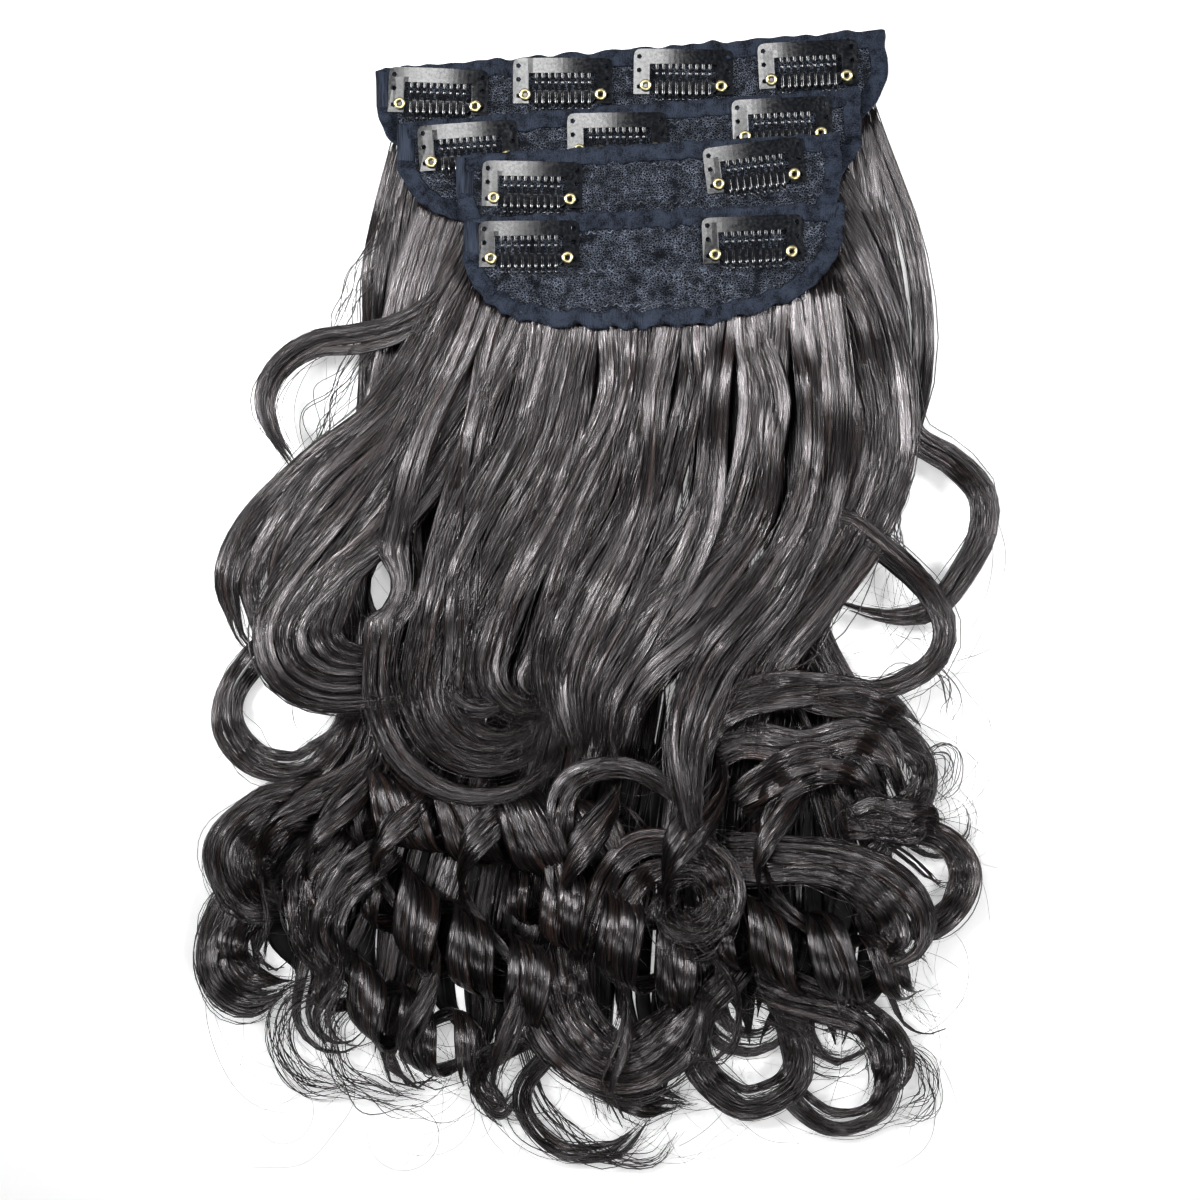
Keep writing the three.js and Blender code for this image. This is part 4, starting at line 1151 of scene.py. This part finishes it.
def seam_surface(index):
    """Rows of zigzag stitching on a lace panel: a thin four-sided thread that swings to either side of a line
    across the panel and dips at each hole."""
    weft = WEFTS[index]
    parts = []
    for share in SEWN_ROWS:
        half = 0.46 * weft.width * (1 - share**4) ** 0.25
        x = np.arange(-half, half, STITCH / 2)
        turn = np.pi * x / STITCH
        depth = share * weft.depth + STITCH_SWING * np.sin(turn) + 0.5 * np.sin(x / 9)
        z = LACE_TOP + ruffle(weft, x, depth) + 0.25 * np.abs(np.cos(turn))
        line = on_weft(index, np.stack([x, -gathered(weft, x, depth), z], -1))[None]
        theta = np.linspace(0, 2 * np.pi, 5)[:-1]
        profile = np.stack([-np.cos(theta), np.sin(theta)], 1)
        half_thread = np.full(line.shape[:2], THREAD)
        parts.append(skin(carry(line, np.broadcast_to(UP, line.shape), half_thread, half_thread, profile),
                          np.full(1, 7.0 * index)))
    return join_surfaces(parts)


class EXTENSION_OT_seams(bpy.types.Operator):
    """Sew the rows of zigzag stitches across each lace panel"""

    bl_idname = "extension.seams"
    bl_label = "Seams"

    def execute(self, context):
        material = sewing_thread(context.scene.extension_lace)
        for index in range(len(WEFTS)):
            piece(f"weft_{index + 1}_seams", seam_surface(index), material, "root")
        return {"FINISHED"}


TAPE_SEED = 8
TAPE_RINGS = 420
EDGE_WANDER = 0.8
TAPE_SECTION = ((TAPE_WIDTH, 0.35), (5.6, 0.75), (4.0, 0.85), (2.0, 0.9), (0.4, 0.85), (-0.6, 0.6),
                (-1.05, 0.0), (-1.05, -0.8), (-0.7, -1.0), (-0.35, -0.7), (-0.2, 0.1), (2.0, 0.2),
                (5.6, 0.15))


def panel_outline(weft):
    """The panel's edge as a closed line at even steps: along the superellipse and back along the top."""
    share = PANEL_END * np.sin(np.linspace(-np.pi / 2, np.pi / 2, 400))
    lower = np.stack([share * weft.width / 2, -panel_depth(weft, share)], 1)
    upper = np.stack([np.linspace(lower[-1, 0], lower[0, 0], 200), np.zeros(200)], 1)
    return spaced(np.vstack([lower, upper]), TAPE_RINGS + 1)[:-1]


def tape_surface(index, pucker, rng):
    """Binding tape: its folded section carried round the panel's edge, standing inward along the edge's
    normal, with puckers that are a sum of sines along the edge, sharpened to folds in a few places."""
    weft = WEFTS[index]
    edge = panel_outline(weft)
    ahead = unit(np.roll(edge, -3, 0) - np.roll(edge, 3, 0))
    inward = np.stack([-ahead[:, 1], ahead[:, 0]], 1)
    around = np.linspace(0, 2 * np.pi, TAPE_RINGS, endpoint=False)
    folds = np.zeros(TAPE_RINGS)
    for _ in range(9):
        number = rng.integers(14, 60)
        folds += np.sin(number * around + rng.uniform(0, 6.3)) * rng.uniform(0.3, 1)
    folds = pucker * folds / 2
    section = np.array(TAPE_SECTION)
    flat = edge[:, None] + inward[:, None] * (section[None, :, :1] + EDGE_WANDER * folds[:, None, None])
    lift = smoothstep(-1.2, 3.0, section[:, 0]) * (section[:, 1] > 0.3)
    z = LACE_TOP + section[None, :, 1] + ruffle(weft, flat[..., 0], -flat[..., 1]) + folds[:, None] * lift
    down = gathered(weft, flat[..., 0], -flat[..., 1])
    rings = on_weft(index, np.stack([flat[..., 0], -down, z], -1))
    size = len(section)
    i, k = cells(TAPE_RINGS, size)
    rows = np.stack([i, i, i + 1, i + 1], 1)
    columns = np.stack([k, k + 1, k + 1, k], 1)
    quads = rows % TAPE_RINGS * size + columns % size
    length = np.linalg.norm(np.roll(edge, -1, 0) - edge, axis=1).mean()
    sides = np.linalg.norm(np.diff(section, axis=0, append=section[:1]), axis=1)
    reach = np.concatenate([[0], np.cumsum(sides)])
    uv = np.stack([reach[columns], rows * length], -1).reshape(-1, 2) + 500 * index
    return rings.reshape(-1, 3), quads, np.zeros((0, 3), int), uv


class EXTENSION_OT_bindings(bpy.types.Operator):
    bl_idname = "extension.bindings"
    bl_label = "Bindings"

    def execute(self, context):
        lace = context.scene.extension_lace
        material = woven_tape(lace)
        rng = np.random.default_rng(TAPE_SEED)
        for index, weft in enumerate(WEFTS):
            surface = tape_surface(index, lace.pucker / MM, rng)
            made = piece(f"weft_{index + 1}_tape", surface, material, "root")
            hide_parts(f"weft_{index + 1}_binding")
        return {"FINISHED"}


def clip_axes(joint):
    """A clip's own axes from its snap joint: the middle of the eyelet line on the plate's seat, the way
    along that line and the way up the clip."""
    along = unit(np.array(joint["axis"], float))
    seat = np.array(joint["pos_m"], float) / MM - SNAP_LINE * UP
    return seat, along, np.cross(UP, along)


def on_clip(joint, points):
    """Points given along the eyelet line, up the clip and above its seat, put in the clip's place."""
    seat, along, up_clip = clip_axes(joint)
    return seat + points[..., :1] * along + points[..., 1:2] * up_clip + points[..., 2:] * UP


PLATE_HALF = 20.0
EAR_BOW = 0.6
BAR_FROM = 6.0
PLATE_CUTS = np.arange(-18, 19, 2.0)
EDGE_ROUND = 0.2
EDGE_ANGLE = 40


def bowed_plate(joint, name, bow):
    """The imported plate, merged, cut crosswise every 2 mm and bowed up: each point rises by the bow times
    one minus the square of its share of the half length, and a little less in the ears than in the bar."""
    seat, along, up_clip = clip_axes(joint)
    mesh = frame["nodes"][name].data.copy()
    work = bmesh.new()
    work.from_mesh(mesh)
    bmesh.ops.remove_doubles(work, verts=work.verts, dist=1e-6)
    bmesh.ops.dissolve_limit(work, angle_limit=0.02, verts=work.verts, edges=work.edges)
    for at in PLATE_CUTS:
        bmesh.ops.bisect_plane(work, geom=work.verts[:] + work.edges[:] + work.faces[:], dist=1e-7,
                               plane_co=Vector((seat + at * along) * MM), plane_no=Vector(along))
    work.to_mesh(mesh)
    work.free()
    points = np.empty(3 * len(mesh.vertices), np.float32)
    mesh.vertices.foreach_get("co", points)
    points = points.reshape(-1, 3)
    share = (points / MM - seat) @ along / PLATE_HALF
    bar = EAR_BOW + (1 - EAR_BOW) * smoothstep(0, BAR_FROM, (points / MM - seat) @ up_clip)
    points[:, 2] += bow * bar * np.maximum(0, 1 - share**2)
    mesh.vertices.foreach_set("co", points.ravel())
    mesh.update()
    return mesh


class EXTENSION_OT_plates(bpy.types.Operator):
    """Dress the sewn plate of each clip: bowed, with rounded edges, in black enamel"""

    bl_idname = "extension.plates"
    bl_label = "Clip plates"

    def execute(self, context):
        clip = context.scene.extension_clip
        material = black_enamel(clip)
        for joint in frame["joints"]:
            number = joint["name"].split("_")[1]
            mesh = bowed_plate(joint, f"clip_{number}_plate", clip.bow)
            mesh.materials.clear()
            mesh.materials.append(material)
            made = bpy.data.objects.new(f"clip_{number}_sewn_plate", mesh)
            context.scene.collection.objects.link(made)
            edge = made.modifiers.new("rolled edge", "BEVEL")
            edge.width = EDGE_ROUND * MM
            edge.segments = 2
            edge.limit_method = "ANGLE"
            edge.angle_limit = np.radians(EDGE_ANGLE)
            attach(made, "root")
            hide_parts(f"clip_{number}_plate")
        return {"FINISHED"}


TEETH = 9
TOOTH_PITCH = 2.66
TOOTH_TOP = 6.0
TOOTH_LOW = -6.4
TOOTH_SECTION = np.array([[-1, 0], [-0.86, 0.6], [-0.6, 0.8], [0, 0.86], [0.6, 0.8], [0.86, 0.6], [1, 0],
                          [0.7, -0.5], [0, -0.5], [-0.7, -0.5]])
SPINE_SECTION = np.array([[-1, -0.5], [-1, 0.34], [-0.97, 0.46], [-0.93, 0.5], [-0.88, 0.52], [0.88, 0.52],
                          [0.93, 0.5], [0.97, 0.46], [1, 0.34], [1, -0.5]])
SPINE = (-3.0, 1.8)
SPINE_REACH = 14.4
SPINE_LEAN = 0.45
SPINE_NECK = (11.4, 13.3)
NECK_WIDTH = 0.44
TIP_LIFT = 0.7
TOOTH_SLOPE = 0.2


def comb_surfaces(joint, width):
    """A comb: nine half-round teeth carried from their rounded tops over the spine to the tips, which bend
    up at the foot, and the spine as a flat bar with eased edges, which necks in to the eyelet line."""
    run = np.linspace(TOOTH_TOP, TOOTH_LOW, 14)
    rounded = np.sqrt(np.clip((TOOTH_TOP - run) / 1.2, 0.02, 1))
    taper = rounded * np.clip((run - TOOTH_LOW) / 1.6, 0.25, 1) ** 0.5
    lean = SPINE_LEAN * np.clip((SPINE[1] - run) / (SPINE[1] - SPINE[0]), 0, 1)
    lift = TIP_LIFT * smoothstep(-3.4, TOOTH_LOW, run) + TOOTH_SLOPE * np.maximum(0, run - SPINE[1]) - lean
    places = (np.arange(TEETH) - (TEETH - 1) / 2) * TOOTH_PITCH
    lines = np.stack(np.broadcast_arrays(places[:, None], run[None], SNAP_LINE + lift[None]), -1)
    half = 0.5 * width * taper
    rings = carry(lines, np.broadcast_to(UP, lines.shape), np.broadcast_to(half, lines.shape[:2]),
                  np.broadcast_to(0.55 * taper**0.5, lines.shape[:2]), TOOTH_SECTION)
    teeth = skin(on_clip(joint, rings), np.zeros(TEETH))
    reach = np.linspace(-SPINE_REACH, SPINE_REACH, 41)
    broad = 1 - smoothstep(*SPINE_NECK, np.abs(reach))
    line = np.stack([reach, broad * sum(SPINE) / 2, SNAP_LINE - broad * SPINE_LEAN / 2], -1)[None]
    leaning = np.array([0, -SPINE_LEAN / (SPINE[1] - SPINE[0]), 1.0])
    waist = (SPINE[1] - SPINE[0]) / 2 * (NECK_WIDTH + (1 - NECK_WIDTH) * broad)
    thick = np.full((1, len(reach)), 0.5)
    spine = carry(line, np.broadcast_to(leaning, line.shape), waist[None], thick, SPINE_SECTION)
    return join_surfaces([teeth, skin(on_clip(joint, spine), np.zeros(1))])


STUB_ROOT = 9.2
STUB_END = 6.2


def stub_surface(joint, width, bow):
    """The short fixed teeth under a plate's bar: one over each comb tooth, a flat rounded section carried
    down from the bar to a round end, on the plate's own bow."""
    run = np.linspace(STUB_ROOT, STUB_END, 7)
    taper = np.sqrt(np.clip((run - STUB_END) / 0.9, 0.05, 1))
    places = (np.arange(TEETH) - (TEETH - 1) / 2) * TOOTH_PITCH
    seat = PLATE_THICK / 2 + bow * (1 - (places / PLATE_HALF) ** 2)
    lines = np.stack(np.broadcast_arrays(places[:, None], run[None], seat[:, None]), -1)
    half = np.broadcast_to(0.5 * width * taper, lines.shape[:2])
    thick = np.full(lines.shape[:2], PLATE_THICK / 2)
    rings = carry(lines, np.broadcast_to(UP, lines.shape), half, thick, TOOTH_SECTION)
    return skin(on_clip(joint, rings), np.zeros(TEETH))


class EXTENSION_OT_combs(bpy.types.Operator):
    """Make the toothed comb of each clip, which turns on the eyelet line, and the plate's stubs over it"""

    bl_idname = "extension.combs"
    bl_label = "Clip combs"

    def execute(self, context):
        clip = context.scene.extension_clip
        material = bpy.data.materials["gloss_black_enamel"]
        for joint in frame["joints"]:
            number = joint["name"].split("_")[1]
            surface = comb_surfaces(joint, clip.tooth_width / MM)
            made = piece(f"clip_{number}_toothed_comb", surface, material, joint["child"])
            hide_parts(f"clip_{number}_comb")
            stubs = stub_surface(joint, clip.tooth_width / MM, clip.bow / MM)
            piece(f"clip_{number}_stubs", stubs, material, "root")
        return {"FINISHED"}


EYELET_SPREAD = 15.2
EYELET_SIDES = 40
EYELET_PROFILE = ((0.95, 0.95), (0.95, 2.4), (1.0, 2.9), (1.2, 3.2), (1.55, 3.34), (1.95, 3.3), (2.25, 3.1),
                  (2.38, 2.85), (2.3, 2.7), (1.9, 2.66), (1.32, 2.6), (1.28, 0.95))


def eyelet_surface(joint, side):
    """A rolled eyelet: a closed barrel-and-rim profile turned once round the eyelet's own axis."""
    profile = np.array(EYELET_PROFILE)
    turn = np.linspace(0, 2 * np.pi, EYELET_SIDES, endpoint=False)
    x = side * EYELET_SPREAD + profile[None, :, 0] * np.cos(turn)[:, None]
    y = profile[None, :, 0] * np.sin(turn)[:, None]
    z = np.broadcast_to(profile[None, :, 1], x.shape)
    rings = on_clip(joint, np.stack([x, y, z], -1))
    size = len(profile)
    i, k = cells(EYELET_SIDES, size)
    rows = np.stack([i, i + 1, i + 1, i], 1) % EYELET_SIDES
    columns = np.stack([k, k, k + 1, k + 1], 1) % size
    quads = (rows * size + columns)[:, ::-1]
    uv = np.zeros((4 * len(quads), 2))
    return rings.reshape(-1, 3), quads, np.zeros((0, 3), int), uv


class EXTENSION_OT_eyelets(bpy.types.Operator):
    """Turn the two brass eyelets of each clip"""

    bl_idname = "extension.eyelets"
    bl_label = "Clip eyelets"

    def execute(self, context):
        material = pale_brass(context.scene.extension_clip)
        for joint in frame["joints"]:
            number = joint["name"].split("_")[1]
            for side, word in ((-1, "left"), (1, "right")):
                surface = eyelet_surface(joint, side)
                made = piece(f"clip_{number}_brass_{word}", surface, material, "root")
                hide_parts(f"clip_{number}_eyelet_{word}")
        return {"FINISHED"}


FLOOR_HALF = 4000.0
FLOOR_DROP = 0.2
AIM_HEIGHT = 18.0


class EXTENSION_OT_stage(bpy.types.Operator):
    """Lay the floor, light it softly and look straight down"""

    bl_idname = "extension.stage"
    bl_label = "Stage"

    def execute(self, context):
        stage = context.scene.extension_stage
        corners = ((-1, -1), (1, -1), (1, 1), (-1, 1))
        points = np.array([[FLOOR_HALF * x, FLOOR_HALF * y, -FLOOR_DROP] for x, y in corners])
        mesh = bpy.data.meshes.new("floor")
        mesh.from_pydata((points * MM).tolist(), [], [(0, 1, 2, 3)])
        mesh.materials.append(opal_table(stage))
        floor = bpy.data.objects.new("floor", mesh)
        context.scene.collection.objects.link(floor)
        middle = Vector((*(SHIFT * MM), AIM_HEIGHT * MM))
        data = bpy.data.cameras.new("overhead")
        data.lens = data.sensor_width * (stage.camera_height - middle.z) / stage.view_width
        data.clip_start = 0.05
        data.clip_end = 20
        camera = bpy.data.objects.new("overhead", data)
        camera.location = (middle.x, middle.y, stage.camera_height)
        context.scene.collection.objects.link(camera)
        context.scene.camera = camera
        boxes = (
            ("key", (0.38, -0.64, 1.45), 0.0, (0.34, 0.26), 180, stage.key_power),
            ("left", (-0.8, 0.3, 1.2), 0.11, (0.25, 0.45), 36, 0.17 * stage.key_power),
            ("right", (0.8, 0.3, 1.2), 0.11, (0.25, 0.45), 36, 0.1 * stage.key_power),
            ("top", (-0.22, 0.45, 1.5), 0.0, (0.3, 0.38), 180, 0.65 * stage.key_power),
        )
        for name, place, up_the_hair, size, spread, power in boxes:
            light = bpy.data.lights.new(name, "AREA")
            light.shape = "RECTANGLE"
            light.size, light.size_y = size
            light.spread = np.radians(spread)
            light.energy = power
            lamp = bpy.data.objects.new(name, light)
            lamp.location = place
            aim = middle + Vector((0, up_the_hair, 0)) - Vector(place)
            lamp.rotation_euler = aim.to_track_quat("-Z", "Y").to_euler()
            context.scene.collection.objects.link(lamp)
        world = bpy.data.worlds.new("soft_room")
        world.use_nodes = True
        tree = world.node_tree
        seen = add(tree, "ShaderNodeLightPath").outputs["Is Camera Ray"]
        strength = add(tree, "ShaderNodeMapRange", inputs={
            "Value": seen, "To Min": stage.dome_strength, "To Max": stage.backdrop,
        })
        tree.nodes["Background"].inputs["Color"].default_value = (1, 1, 1, 1)
        tree.links.new(strength.outputs[0], tree.nodes["Background"].inputs["Strength"])
        context.scene.world = world
        context.scene.view_settings.view_transform = "Standard"
        return {"FINISHED"}


STEPS_OF_BUILD = (
    EXTENSION_OT_locks,
    EXTENSION_OT_strands,
    EXTENSION_OT_strays,
    EXTENSION_OT_lace,
    EXTENSION_OT_seams,
    EXTENSION_OT_bindings,
    EXTENSION_OT_plates,
    EXTENSION_OT_combs,
    EXTENSION_OT_eyelets,
    EXTENSION_OT_stage,
)


class VIEW3D_PT_hair_extension(bpy.types.Panel):
    """The extension's settings and the operators that build it"""

    bl_label = "Hair extension"
    bl_space_type = "VIEW_3D"
    bl_region_type = "UI"
    bl_category = "Hair extension"

    def draw(self, context):
        for step in STEPS_OF_BUILD:
            self.layout.operator(step.bl_idname)
        for holder, group in SETTINGS.items():
            box = self.layout.box()
            for name in group.__annotations__:
                box.prop(getattr(context.scene, holder), name)


def register():
    for group in SETTINGS.values():
        bpy.utils.register_class(group)
    for holder, group in SETTINGS.items():
        setattr(bpy.types.Scene, holder, bpy.props.PointerProperty(type=group))
    for step in STEPS_OF_BUILD:
        bpy.utils.register_class(step)
    bpy.utils.register_class(VIEW3D_PT_hair_extension)


def unregister():
    bpy.utils.unregister_class(VIEW3D_PT_hair_extension)
    for step in reversed(STEPS_OF_BUILD):
        bpy.utils.unregister_class(step)
    for holder, group in reversed(SETTINGS.items()):
        delattr(bpy.types.Scene, holder)
        bpy.utils.unregister_class(group)


def main():
    register()
    bpy.ops.extension.locks()
    bpy.ops.extension.strands()
    bpy.ops.extension.strays()
    bpy.ops.extension.lace()
    bpy.ops.extension.seams()
    bpy.ops.extension.bindings()
    bpy.ops.extension.plates()
    bpy.ops.extension.combs()
    bpy.ops.extension.eyelets()
    bpy.ops.extension.stage()


if __name__ == "__main__":
    main()
